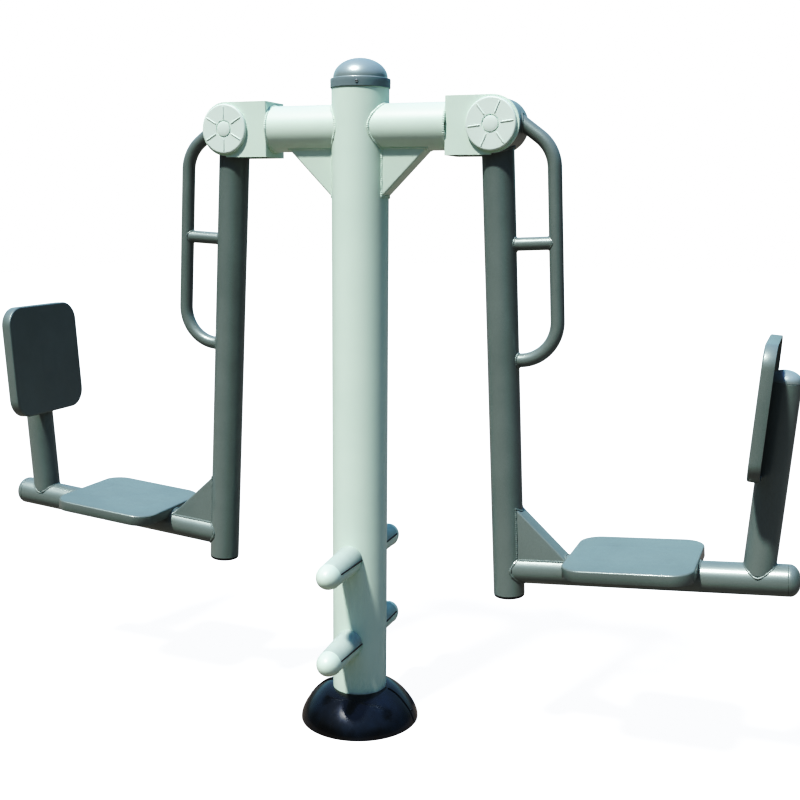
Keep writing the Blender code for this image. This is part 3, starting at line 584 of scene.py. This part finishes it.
def build_post_cap():
    """A dome seated in a band, with a screw through the band at the front and the rear."""
    band_radius = CAP_HIGH.x
    band_top = CAP_LOW.z + BAND_HEIGHT
    rise = CAP_HIGH.z - band_top - DOME_SHEET
    bore = DOME_RADIUS - DOME_SHEET
    dome = [(DOME_RADIUS * x, band_top + DOME_SHEET + rise * z) for x, z in arc((0, 0), 1.0, 90, 0, 28)]
    dome += [(DOME_RADIUS, band_top + 0.0012), (DOME_RADIUS + 0.0006, band_top + 0.0004),
             (bore, band_top - 0.0005)]
    inside = [(bore * x, band_top + rise * z) for x, z in arc((0, 0), 1.0, 0, 90, 12)]
    bm = bmesh.new()
    turned(bm, Matrix.Identity(4), dome + inside, 112)
    piece("cap_dome", bm, "dome", "root", ["post_cap"], sharp=50)
    lip = 0.0014
    band = [(POST_RADIUS + 0.0003, CAP_LOW.z)]
    band += arc((band_radius - lip, CAP_LOW.z + lip), lip, -90, 0, 4)
    band += [(band_radius - 0.0003, CAP_LOW.z + 0.0105), (band_radius, CAP_LOW.z + 0.0125)]
    band += arc((band_radius - lip, band_top - lip), lip, 0, 90, 4)
    band += [(DOME_RADIUS - 0.0008, band_top), (DOME_RADIUS - 0.0008, band_top - BAND_FLOOR),
             (POST_RADIUS + 0.0003, band_top - BAND_FLOOR)]
    bm = bmesh.new()
    turned(bm, Matrix.Identity(4), band, 112, closed=True)
    piece("cap_band", bm, "band", "root", sharp=50)
    height = (CAP_LOW.z + band_top) / 2
    for end in ENDS:
        low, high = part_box(f"post_cap_screw_{end}")
        middle = (low + high) / 2
        outwards = Vector((middle.x, middle.y, 0)).normalized()
        turn = outwards.to_track_quat("Z", "Y").to_matrix().to_4x4()
        place = Matrix.Translation(outwards * band_radius + Vector((0, 0, height))) @ turn
        bm = bmesh.new()
        cap_screw(bm, place)
        piece(f"cap_screw_head_{end}", bm, "steel", "root", [f"post_cap_screw_{end}"], sharp=30)


def gusset(name, node, look, body, welds, origin, main, main_radius, sheet, beam, beam_radius, leg):
    """A folded sheet gusset: main and beam are the tubes' directions from origin."""
    fold = 0.0045
    depth = leg / math.sqrt(2)
    across = Vector((0, 1, 0))
    outline = [(depth, -GUSSET_HALF)]
    outline += arc((fold, fold - GUSSET_HALF), fold, 270, 180, 5)
    outline += arc((fold, GUSSET_HALF - fold), fold, 180, 90, 5)
    outline += [(depth, GUSSET_HALF)]
    rings = []
    for inwards, y in outline:
        reach = (depth - inwards) * math.sqrt(2)
        rings.append([origin + main * reach + across * y, origin + sheet * reach + across * y])
    bm = bmesh.new()
    skin(bm, rings, wrap=False)
    bmesh.ops.remove_doubles(bm, verts=bm.verts, dist=MERGE_DISTANCE)
    close_rims(bm)
    piece(name, bm, look, body, [node])
    slope = (main + sheet).normalized()
    for along, radius, lift in ((main, main_radius, sheet), (beam, beam_radius, main)):
        up = (lift - along * lift.dot(along)).normalized()
        other = beam_radius if along is main else main_radius

        def on_tube(y, reach):
            return origin + up * math.sqrt(radius ** 2 - y * y) + across * y + along * reach

        def slope_reach(y):
            here = up.dot(slope) * math.sqrt(radius ** 2 - y * y)
            return (depth - here) / along.dot(slope)

        half = GUSSET_HALF
        corner = math.sqrt(other ** 2 - half ** 2)
        path = [on_tube(-half, corner), on_tube(-half, slope_reach(-half))]
        path += [on_tube(half * k / 5, slope_reach(half * k / 5)) for k in range(-4, 5)]
        path += [on_tube(half, slope_reach(half)), on_tube(half, corner)]
        weld(welds, path, 0.0030)


def build_crossarm(label, side, welds):
    """A tube from the post to the bracket, with its gusset below and its beads."""
    axis = CROSSARM_LOW.z + CROSSARM_RADIUS
    place = Matrix.Translation((0, 0, axis)) @ Matrix.Rotation(side * math.pi / 2, 4, "Y")
    bm = bmesh.new()
    tube(bm, place, CROSSARM_RADIUS, POST_RADIUS - 0.03, CROSSARM_HIGH.x, steps=112, wall=POST_WALL)
    piece(f"crossarm_tube_{label}", bm, "cream", "root", [f"crossarm_{label}"])
    weld(welds, joint_curve(place, CROSSARM_RADIUS, Matrix.Identity(4), POST_RADIUS), 0.0034)
    weld(welds, circle(place, CROSSARM_RADIUS, CROSSARM_HIGH.x - 0.0005), 0.0032)
    level = Vector((side, 0, 0))
    gusset(f"crossarm_gusset_sheet_{label}", f"crossarm_gusset_{label}", "cream", "root", welds,
           Vector((0, 0, axis)), Vector((0, 0, -1)), POST_RADIUS, level, level, CROSSARM_RADIUS,
           CROSSARM_GUSSET_LEG)


def ear_rows(pivot, facing, radius, up, down):
    """One ear from its round nose back to the fold: outer and inner corner, top and bottom."""
    half = BRACKET_HIGH.y
    across = (facing * half, facing * (half - EAR_PLATE))
    rows = []
    for i in range(25):
        turn = math.radians(90 * i / 24)
        x = abs(pivot.x) + radius * math.cos(turn)
        high = min(pivot.z + radius * math.sin(turn), up) if x > abs(pivot.x) else up
        rows.append(((x, across[0]), (x, across[1]), high, pivot.z - radius * math.sin(turn)))
    start = abs(pivot.x) - 0.0002
    rows.append(((start, across[0]), (start, across[1]), up, down))
    return rows


def build_bracket(label, side):
    """One strip of plate, folded round the crossarm's end into two ears."""
    pivot = PIVOTS[f"arm_{label}"]
    inner, half = BRACKET_LOW.x, BRACKET_HIGH.y
    fold, inner_fold = 0.0030, 0.0005
    up, down = BRACKET_HIGH.z, BRACKET_LOW.z
    rings = []
    for facing, radius in ((-1, FRONT_EAR_RADIUS), (1, REAR_EAR_RADIUS)):
        rows = ear_rows(pivot, facing, radius, up, down)
        for k in range(7):
            t = math.radians(90 * k / 6)
            outer = (inner + fold - fold * math.sin(t), facing * (half - fold + fold * math.cos(t)))
            inside = (inner + EAR_PLATE + inner_fold * (1 - math.sin(t)),
                      facing * (half - EAR_PLATE - inner_fold * (1 - math.cos(t))))
            rows.append((outer, inside, up, down))
        rings.append(rows)
    loops = []
    for outer, inside, high, low in rings[0] + list(reversed(rings[1])):
        corners = ((outer, high), (outer, low), (inside, low), (inside, high))
        loops.append([Vector((side * spot[0], spot[1], height)) for spot, height in corners])
    bm = bmesh.new()
    skin(bm, loops)
    piece(f"bracket_plate_{label}", bm, "cream", "root", [f"pivot_bracket_{label}"], bevel=0.0011)


def build_pivot_cover(label, end, turn):
    """A moulded cover: rounded rim, six ribs and a domed plug in the middle."""
    low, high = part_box(f"pivot_cover_{label}_{end}")
    facing = ENDS[end]
    radius = (high.x - low.x) / 2
    centre = (low + high) / 2
    back = high.y if facing < 0 else low.y
    depth = PIVOT_COVER_DEPTH
    place = Matrix.Translation((centre.x, back, centre.z)) @ Matrix.Rotation(-facing * math.pi / 2, 4, "X")
    edge = 0.0038
    profile = [(0.0, depth + 0.0026)]
    profile += [(0.0170 * x, depth + 0.0004 + 0.0022 * z) for x, z in arc((0, 0), 1.0, 80, 25, 6)]
    profile += [(0.0180, depth + 0.0008), (0.0184, depth - 0.0008), (0.0190, depth - 0.0022),
                (0.0200, depth - 0.0022), (0.0206, depth - 0.0008), (0.0210, depth), (0.0220, depth)]
    profile += [(radius - edge - 0.0036, depth), (radius - edge - 0.0028, depth),
                (radius - edge - 0.0010, depth)]
    profile += [(radius - edge + x, depth - edge + z) for x, z in arc((0, 0), edge, 90, 0, 9)]
    profile += [(radius, 0.0), (radius - 0.002, 0.0), (radius - 0.002, depth - 0.004), (0.0, depth - 0.004)]
    bm = bmesh.new()
    turned(bm, place, profile, 96)
    for i in range(6):
        bearing = math.radians(turn + 60 * i)
        start, stop = [place @ Vector((r * math.cos(bearing), r * math.sin(bearing), depth - 0.0002))
                       for r in (0.0240, radius - 0.0052)]
        path = spaced([start, stop], 0.0025)
        radii = [RIB_RADIUS] * len(path)
        radii[0] = radii[-1] = RIB_END_RADIUS
        bar(bm, path, radii, sides=10)
    piece(f"cover_{label}_{end}", bm, "plastic", "root", [f"pivot_cover_{label}_{end}"], sharp=42)


def build_pegs(welds):
    """Two tubes through the post, each with a domed cap and a tread at both ends."""
    for level in ("upper", "lower"):
        low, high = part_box(f"peg_bar_{level}")
        radius = high.x
        height = (low.z + high.z) / 2
        bm = bmesh.new()
        across = Matrix.Translation((0, 0, height)) @ Matrix.Rotation(-math.pi / 2, 4, "X")
        tube(bm, across, radius, low.y, high.y, steps=72, wall=TUBE_WALL)
        piece(f"peg_tube_{level}", bm, "cream", "root", [f"peg_bar_{level}"])
        for end, facing in ENDS.items():
            place = Matrix.Translation((0, 0, height)) @ Matrix.Rotation(-facing * math.pi / 2, 4, "X")
            weld(welds, joint_curve(place, radius, Matrix.Identity(4), POST_RADIUS), 0.0028)
            build_peg_cap(level, end, place, radius, high.y)
            build_tread(level, end, height, high.y - 0.0002)


def build_peg_cap(level, end, place, radius, start):
    """A domed cap that stands a little proud of its tube."""
    low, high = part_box(f"peg_cap_{level}_{end}")
    tip = max(abs(low.y), abs(high.y))
    rise = tip - start - 0.0008
    profile = [(radius * x, start + 0.0008 + rise * z) for x, z in arc((0, 0), 1.0, 90, 0, 20)]
    profile[-1] = (radius + 0.0003, start + 0.0026)
    profile += [(radius + 0.0006, start + 0.0014), (radius + 0.0002, start + 0.0002), (radius - 0.004, start),
                (0.0, start)]
    bm = bmesh.new()
    turned(bm, place, profile, 72)
    piece(f"peg_dome_{level}_{end}", bm, "cream", "root", [f"peg_cap_{level}_{end}"], sharp=50)


def build_tread(level, end, height, tip):
    """A saddle pad that slopes to the cap at the tip: ribs across it, and under each edge a dark rubber strip
    that is painted shade for the gap below the edge.
    """
    near = POST_RADIUS - 0.006
    count = 168
    rings = []
    for i in range(count + 1):
        y = near + (tip - near) * i / count
        share = (y - POST_RADIUS) / (tip - POST_RADIUS)
        groove = max(0.0, math.cos(math.tau * y / TREAD_RIB_PITCH)) ** 4 if y < tip - 0.004 else 0.0
        round_off = max(0.0, 1 - (tip - y) / 0.0022)
        reach = TREAD_RADIUS - TREAD_TAPER * max(share, 0.0)
        reach -= TREAD_RIB_DEPTH * groove + 0.0010 * round_off ** 2
        lift = TREAD_LIFT * (1 - max(share, 0.0))
        bottom = min(TREAD_EDGE - lift, reach * 0.98)
        start = math.asin(bottom / reach)
        ring = [(0.0, bottom)]
        for k in range(33):
            angle = start + (math.pi - 2 * start) * k / 32
            ring.append((reach * math.cos(angle), reach * math.sin(angle)))
        rings.append([Vector((x, ENDS[end] * y, height + lift + z)) for x, z in ring])
    bm = bmesh.new()
    skin(bm, rings, start_cap=True, end_cap=True)
    piece(f"tread_{level}_{end}", bm, "tread", "root", [f"peg_tread_{level}_{end}"], sharp=50)
    # Painted shade: a dark strip along each lower edge of the tread stands in for the shadow in the gap
    # beneath it.
    bm = bmesh.new()
    for row in (1, -1):
        path = [ring[row] + Vector((0, 0, -SHADE_STRIP_DROP)) for ring in rings[:-4:6]]
        bar(bm, path, [SHADE_STRIP_RADIUS] * len(path), sides=10)
    piece(f"tread_shade_strip_{level}_{end}", bm, "rubber", "root")


# ------------------------------------------------------------------------ the arms
def build_drum(label, side, pivot):
    """The hub on the bolt: boss, web and rim turned in one, and its stop lug."""
    place = Matrix.Translation(pivot) @ Matrix.Rotation(math.pi / 2, 4, "X")
    half, edge, web, boss = DRUM_HALF, 0.0012, 0.004, 0.028
    inner = DRUM_RADIUS - 0.005
    top = [(0.0203, half), (boss - edge, half), (boss, half - edge), (boss, web + 0.002),
           (boss + 0.002, web), (inner - 0.002, web), (inner, web + 0.002), (inner, half - edge),
           (inner + edge, half), (DRUM_RADIUS - edge, half), (DRUM_RADIUS, half - edge)]
    profile = top + [(r, -h) for r, h in reversed(top)]
    bm = bmesh.new()
    turned(bm, place, profile, 112, closed=True)
    ends = []
    for x in (DRUM_RADIUS - 0.002, LUG_REACH):
        corners = ((-1, -1), (-1, 1), (1, 1), (1, -1))
        ends.append([pivot + Vector((-side * x, LUG_HALF_WIDTH * y, LUG_HALF_HEIGHT * z))
                     for y, z in corners])
    skin(bm, ends, start_cap=True, end_cap=True)
    piece(f"hub_shell_{label}", bm, "graphite", f"arm_{label}", [f"hub_drum_{label}"], bevel=0.0008)


def end_cap(bm, place, radius, start, rise, steps=72):
    """A dome on a tube's end with a fine groove where it sits on the rim."""
    profile = [(radius * x, start + 0.0014 + (rise - 0.0014) * z) for x, z in arc((0, 0), 1.0, 90, 0, 20)]
    profile += [(radius, start + 0.0006), (radius - 0.0007, start), (0.0, start)]
    turned(bm, place, profile, steps)


def build_arm_tube(label, arm, drum, welds):
    """The tube that hangs from the drum, with the rubber plug at its foot."""
    body = f"arm_{label}"
    bm = bmesh.new()
    tube(bm, arm, ARM_RADIUS, -ARM_BOTTOM, -DRUM_RADIUS + 0.018, steps=88)
    piece(f"arm_tube_shell_{label}", bm, "graphite", body, [f"arm_tube_{label}"])
    down = arm @ Matrix.Rotation(math.pi, 4, "X")
    weld(welds, joint_curve(down, ARM_RADIUS, drum, DRUM_RADIUS), 0.0036)
    face = ARM_RADIUS - 0.0006
    profile = [(0.0, 0.006), (ARM_RADIUS - 0.004, 0.006), (ARM_RADIUS - 0.004, -0.0002), (face, -0.0002)]
    profile += [(face - 0.004 + 0.004 * x, -0.0022 - 0.004 * z) for x, z in arc((0, 0), 1.0, 0, 60, 6)]
    profile += [(face * 0.62, -0.0092), (face * 0.36, -0.0118), (face * 0.15, -0.0128), (0.0, -0.013)]
    bm = bmesh.new()
    turned(bm, arm @ Matrix.Translation((0, 0, -ARM_BOTTOM)), profile, 72)
    piece(f"arm_plug_{label}", bm, "rubber", body, [f"arm_end_plug_{label}"], sharp=50)


def build_handle(label, side, arm, drum, welds):
    """The bent grip bar, the strut that bridges it to the arm and their beads."""
    body = f"arm_{label}"
    slope = math.radians(HANDLE_SLOPE)
    offset = side * HANDLE_OFFSET
    start = Vector((offset - side * HANDLE_RUN * math.cos(slope), 0,
                    HANDLE_RUN * math.sin(slope) - HANDLE_TOP))
    upper = Vector((offset, 0, -HANDLE_TOP))
    lower = Vector((offset, 0, -HANDLE_FOOT))
    foot = Vector((side * HANDLE_FOOT_X, 0, -HANDLE_FOOT))
    path = [start] + bend(start, upper, lower, HANDLE_BEND) + bend(upper, lower, foot, HANDLE_BEND) + [foot]
    path = [arm @ point for point in path]
    bm = bmesh.new()
    bar(bm, path, [HANDLE_RADIUS] * len(path), sides=40)
    piece(f"handle_bar_{label}", bm, "graphite", body, [f"handle_{label}"])
    bm = bmesh.new()
    strut = arm @ Matrix.Translation((0, 0, -STRUT_DROP)) @ Matrix.Rotation(side * math.pi / 2, 4, "Y")
    tube(bm, strut, STRUT_RADIUS, ARM_RADIUS - 0.012, HANDLE_OFFSET - 0.008, steps=40, wall=STRUT_WALL)
    piece(f"strut_tube_{label}", bm, "graphite", body, [f"handle_strut_{label}"])
    weld(welds, joint_curve(strut, STRUT_RADIUS, arm, ARM_RADIUS), 0.0028, ripple=0.15)
    grip = arm @ Matrix.Translation((offset, 0, 0))
    back = arm @ Matrix.Translation((offset, 0, -STRUT_DROP)) @ Matrix.Rotation(-side * math.pi / 2, 4, "Y")
    weld(welds, joint_curve(back, STRUT_RADIUS, grip, HANDLE_RADIUS), 0.0020, ripple=0.15)
    end = arm @ Matrix.Translation((0, 0, -HANDLE_FOOT)) @ Matrix.Rotation(side * math.pi / 2, 4, "Y")
    weld(welds, joint_curve(end, HANDLE_RADIUS, arm, ARM_RADIUS), 0.0030)
    leave = (path[0] - path[1]).normalized()
    top = Matrix.Translation(path[0]) @ (-leave).to_track_quat("Z", "Y").to_matrix().to_4x4()
    weld(welds, joint_curve(top, HANDLE_RADIUS, drum, DRUM_RADIUS), 0.0030, ripple=0.05)


def crease(y, width=0.0030):
    return math.exp(-(y / width) ** 2)


def build_pan(name, node, body, place, length, width, lines, depth):
    """A pressed tray: flat face with shallow creases, rounded brow and a skirt."""
    half_x, half_y = length / 2, width / 2
    brow, sheet = 0.0040, 0.0025

    def loop(inset, height):
        outline = rounded_box(half_x - inset, half_y - inset, PAN_CORNER - inset)
        return [place @ Vector((x, y, height)) for x, y in outline]

    rings = []
    outline = rounded_box(half_x - brow, half_y - brow, PAN_CORNER - brow)
    for k in range(24):
        share = 0.02 + 0.98 * k / 23
        fade = 1.0 if share < 0.9 else max(0.0, (1.0 - share) / 0.1)
        ring = []
        for x, y in outline:
            dip = fade * depth * sum(crease(y * share - line) for line in lines)
            ring.append(place @ Vector((x * share, y * share, -dip)))
        rings.append(ring)
    for x, z in arc((0, 0), brow, 80, 0, 8):
        rings.append(loop(brow - x, z - brow))
    rings += [loop(0.0, 0.0006 - PAN_SKIRT), loop(0.0005, -PAN_SKIRT), loop(sheet - 0.0005, -PAN_SKIRT),
              loop(sheet, 0.0006 - PAN_SKIRT)]
    for x, z in arc((0, 0), brow - sheet, 0, 90, 5):
        rings.append(loop(brow - x, z - brow))
    bm = bmesh.new()
    skin(bm, rings, start_cap=True, end_cap=True)
    piece(name, bm, "graphite", body, [node], sharp=50)


def build_seat_tube(label, body, place, arm, welds):
    """The tube under the seat, its domed cap and the bead round the arm."""
    bm = bmesh.new()
    tube(bm, place, SEAT_RADIUS, ARM_RADIUS - 0.02, SEAT_END, steps=88, wall=TUBE_WALL)
    piece(f"seat_tube_shell_{label}", bm, "graphite", body, [f"seat_tube_{label}"])
    bm = bmesh.new()
    end_cap(bm, place, SEAT_RADIUS, SEAT_END, SEAT_CAP_RISE)
    piece(f"seat_tube_dome_{label}", bm, "graphite", body, [f"seat_tube_cap_{label}"], sharp=50)
    weld(welds, joint_curve(place, SEAT_RADIUS - 0.0012, arm, ARM_RADIUS), 0.0036, ripple=0.12)


def build_back_tube(label, body, place, seat_tube, welds):
    """The tube behind the backrest, its domed cap and the bead round the seat tube."""
    bm = bmesh.new()
    tube(bm, place, BACK_RADIUS, SEAT_RADIUS - 0.02, BACK_END, steps=88, wall=TUBE_WALL)
    piece(f"back_tube_shell_{label}", bm, "graphite", body, [f"back_tube_{label}"])
    bm = bmesh.new()
    end_cap(bm, place, BACK_RADIUS, BACK_END, BACK_CAP_RISE)
    piece(f"back_tube_dome_{label}", bm, "dome", body, [f"back_tube_cap_{label}"], sharp=50)
    weld(welds, joint_curve(place, BACK_RADIUS - 0.0014, seat_tube, SEAT_RADIUS), 0.0027, ripple=0.06)


def weld_pans(welds, side, seat_tube, back):
    """A bead where a tray's end skirt meets its tube; the backrest has one at its foot only."""
    bearing = 90 + 90 * side
    for height in (SEAT_PAN_START - 0.001, SEAT_PAN_END + 0.001):
        weld(welds, saddle(seat_tube, SEAT_RADIUS, height, bearing, 58), 0.0026, ripple=0.15)
    weld(welds, saddle(back, BACK_RADIUS, BACK_PAN_START - 0.001, bearing, 58), 0.0026, ripple=0.15)


def build_pans(label, side, body, seat, back):
    """The seat's and the backrest's tray, each centred over its tube."""
    middle = side * (SEAT_PAN_START + SEAT_PAN_END) / 2
    build_pan(f"seat_pan_sheet_{label}", f"seat_pan_{label}", body,
              seat @ Matrix.Translation((middle, 0, SEAT_FACE)),
              SEAT_PAN_END - SEAT_PAN_START, SEAT_PAN_WIDTH, SEAT_CREASES, SEAT_CREASE_DEPTH)
    middle = (BACK_PAN_START + BACK_PAN_END) / 2
    upright = (back @ Matrix.Translation((-side * BACK_FACE, 0, middle))
               @ Matrix.Rotation(-side * math.pi / 2, 4, "Y"))
    build_pan(f"back_pan_sheet_{label}", f"back_pan_{label}", body, upright,
              BACK_PAN_END - BACK_PAN_START, BACK_PAN_WIDTH, BACK_CREASES, BACK_CREASE_DEPTH)


def build_arm(label, side):
    """Everything that swings with one arm, each tube in the place of the one that carries it."""
    body = f"arm_{label}"
    pivot = PIVOTS[body]

    def tilt(degrees):
        return Matrix.Rotation(math.radians(side * degrees), 4, "Y")

    drum = Matrix.Translation(pivot) @ Matrix.Rotation(math.pi / 2, 4, "X")
    arm = Matrix.Translation(pivot) @ tilt(-ARM_TILT)
    seat = arm @ Matrix.Translation((0, 0, -SEAT_DROP)) @ tilt(-SEAT_RISE)
    seat_tube = seat @ Matrix.Rotation(side * math.pi / 2, 4, "Y")
    back = seat @ Matrix.Translation((side * BACK_FOOT, 0, 0)) @ tilt(BACK_LEAN)
    welds = bmesh.new()
    build_drum(label, side, pivot)
    build_arm_tube(label, arm, drum, welds)
    build_handle(label, side, arm, drum, welds)
    build_seat_tube(label, body, seat_tube, arm, welds)
    build_back_tube(label, body, back, seat_tube, welds)
    weld_pans(welds, side, seat_tube, back)
    level = arm.to_3x3() @ Vector((side, 0, 0))
    gusset(f"arm_gusset_sheet_{label}", f"arm_gusset_{label}", "graphite", body, welds,
           arm @ Vector((0, 0, -SEAT_DROP)), arm.to_3x3() @ Vector((0, 0, 1)), ARM_RADIUS,
           level, seat.to_3x3() @ Vector((side, 0, 0)), SEAT_RADIUS, ARM_GUSSET_LEG)
    build_pans(label, side, body, seat, back)
    piece(f"welds_{body}", welds, "graphite", body)


# ----------------------------------------------------------- floor, light and camera
def build_stage():
    """A floor that looks white and gives back a softer, warmer light."""
    bm = bmesh.new()
    rings = [[Vector((x, y, 0)) for x in FLOOR_X] for y in FLOOR_Y]
    skin(bm, rings, wrap=False)
    mesh = bpy.data.meshes.new("floor")
    bm.to_mesh(mesh)
    bm.free()
    floor = bpy.data.objects.new("floor", mesh)
    bpy.context.scene.collection.objects.link(floor)
    look = Look("floor_look")
    tone = look.ramp(look.noise(1.5, 3.0), (0.3, (0.34, 0.34, 0.34)), (0.7, (0.36, 0.36, 0.36)))
    look.links.new(tone, look.shader.inputs["Base Color"])
    ground = look.nodes.new("ShaderNodeBsdfDiffuse")
    ground.inputs["Color"].default_value = (*BOUNCE_COLOUR, 1.0)
    mix = look.nodes.new("ShaderNodeMixShader")
    look.links.new(look.nodes.new("ShaderNodeLightPath").outputs["Is Camera Ray"], mix.inputs["Fac"])
    look.links.new(ground.outputs["BSDF"], mix.inputs[1])
    look.links.new(look.shader.outputs["BSDF"], mix.inputs[2])
    look.links.new(mix.outputs["Shader"], look.nodes["Material Output"].inputs["Surface"])
    look.shader.inputs["Roughness"].default_value = 0.9
    look.shader.inputs["Specular IOR Level"].default_value = 0.0
    look.shader.inputs["Emission Color"].default_value = (1, 1, 1, 1)
    look.shader.inputs["Emission Strength"].default_value = FLOOR_GLOW
    mesh.materials.append(look.material)


def colour_ramp(nodes, stops):
    """A ramp node with one stop for each pair of position and colour."""
    ramp = nodes.new("ShaderNodeValToRGB")
    while len(ramp.color_ramp.elements) < len(stops):
        ramp.color_ramp.elements.new(0.5)
    for element, (position, colour) in zip(ramp.color_ramp.elements, stops):
        element.position = position
        element.color = (*colour, 1.0)
    return ramp


def build_key():
    """A large warm key from the upper left front."""
    key = bpy.data.objects.new("key", bpy.data.lights.new("key", "SUN"))
    key.data.energy = KEY_ENERGY
    key.data.color = KEY_COLOUR
    key.data.angle = math.radians(KEY_SIZE)
    key.rotation_mode = "QUATERNION"
    key.rotation_quaternion = Vector(KEY_DIRECTION).to_track_quat("-Z", "Y")
    bpy.context.scene.collection.objects.link(key)


def build_room():
    """A soft cool room: one ramp of heights towards the camera, a brighter one behind."""
    world = bpy.data.worlds.new("studio")
    world.use_nodes = True
    nodes, links = world.node_tree.nodes, world.node_tree.links
    direction = nodes.new("ShaderNodeTexCoord").outputs["Generated"]
    split = nodes.new("ShaderNodeSeparateXYZ")
    links.new(direction, split.inputs["Vector"])
    height = nodes.new("ShaderNodeMapRange")
    height.inputs["From Min"].default_value = -1.0
    links.new(split.outputs["Z"], height.inputs["Value"])
    near = colour_ramp(nodes, NEAR_ROOM)
    far = colour_ramp(nodes, FAR_ROOM)
    links.new(height.outputs["Result"], near.inputs["Fac"])
    links.new(height.outputs["Result"], far.inputs["Fac"])
    facing = nodes.new("ShaderNodeVectorMath")
    facing.operation = "DOT_PRODUCT"
    links.new(direction, facing.inputs[0])
    facing.inputs[1].default_value = FAR_DIRECTION
    turn = nodes.new("ShaderNodeMapRange")
    turn.interpolation_type = "SMOOTHSTEP"
    turn.inputs["From Min"].default_value = 0.25
    turn.inputs["From Max"].default_value = 0.85
    links.new(facing.outputs["Value"], turn.inputs["Value"])
    room = nodes.new("ShaderNodeMix")
    room.data_type = "RGBA"
    links.new(turn.outputs["Result"], room.inputs[0])
    links.new(near.outputs["Color"], room.inputs[6])
    links.new(far.outputs["Color"], room.inputs[7])
    seen = nodes.new("ShaderNodeMix")
    seen.data_type = "RGBA"
    links.new(nodes.new("ShaderNodeLightPath").outputs["Is Camera Ray"], seen.inputs[0])
    links.new(room.outputs[2], seen.inputs[6])
    seen.inputs[7].default_value = (WHITE, WHITE, WHITE, 1)
    links.new(seen.outputs[2], nodes["Background"].inputs["Color"])
    bpy.context.scene.world = world


def build_tone():
    """A gentle film curve: soft highlights and a firm toe."""
    view = bpy.context.scene.view_settings
    view.view_transform = "Standard"
    view.use_curve_mapping = True
    view.curve_mapping.white_level = (WHITE, WHITE, WHITE)
    curve = view.curve_mapping.curves[3]
    for light, shown in TONE[1:-1]:
        curve.points.new(light / WHITE, shown)
    view.curve_mapping.update()


def build_camera():
    """The photo's camera: yaw, pitch and roll in degrees, lens in mm."""
    yaw, pitch, roll = (math.radians(a) for a in CAMERA_ANGLES)
    ahead = Vector((-math.sin(yaw) * math.cos(pitch), math.cos(yaw) * math.cos(pitch), math.sin(pitch)))
    level = Vector((math.cos(yaw), math.sin(yaw), 0))
    above = level.cross(ahead)
    right = math.cos(roll) * level + math.sin(roll) * above
    up = math.cos(roll) * above - math.sin(roll) * level
    camera = bpy.data.objects.new("camera", bpy.data.cameras.new("camera"))
    axes = Matrix((right, up, -ahead)).transposed().to_4x4()
    camera.matrix_world = Matrix.Translation(CAMERA_PLACE) @ axes
    camera.data.sensor_width = 36.0
    camera.data.lens = CAMERA_LENS
    bpy.context.scene.collection.objects.link(camera)
    bpy.context.scene.camera = camera


def build_machine():
    """Everything fixed rides on the root; each arm rides on its own body."""
    welds = bmesh.new()
    build_post()
    build_base_cover()
    build_post_cap()
    build_pegs(welds)
    for label, side in SIDES.items():
        build_crossarm(label, side, welds)
        build_bracket(label, side)
        for end in ENDS:
            build_pivot_cover(label, end, PIVOT_COVER_TURN[label])
        build_arm(label, side)
    piece("welds_root", welds, "cream", "root")


dress_frame()
build_machine()
build_stage()
build_key()
build_room()
build_tone()
build_camera()
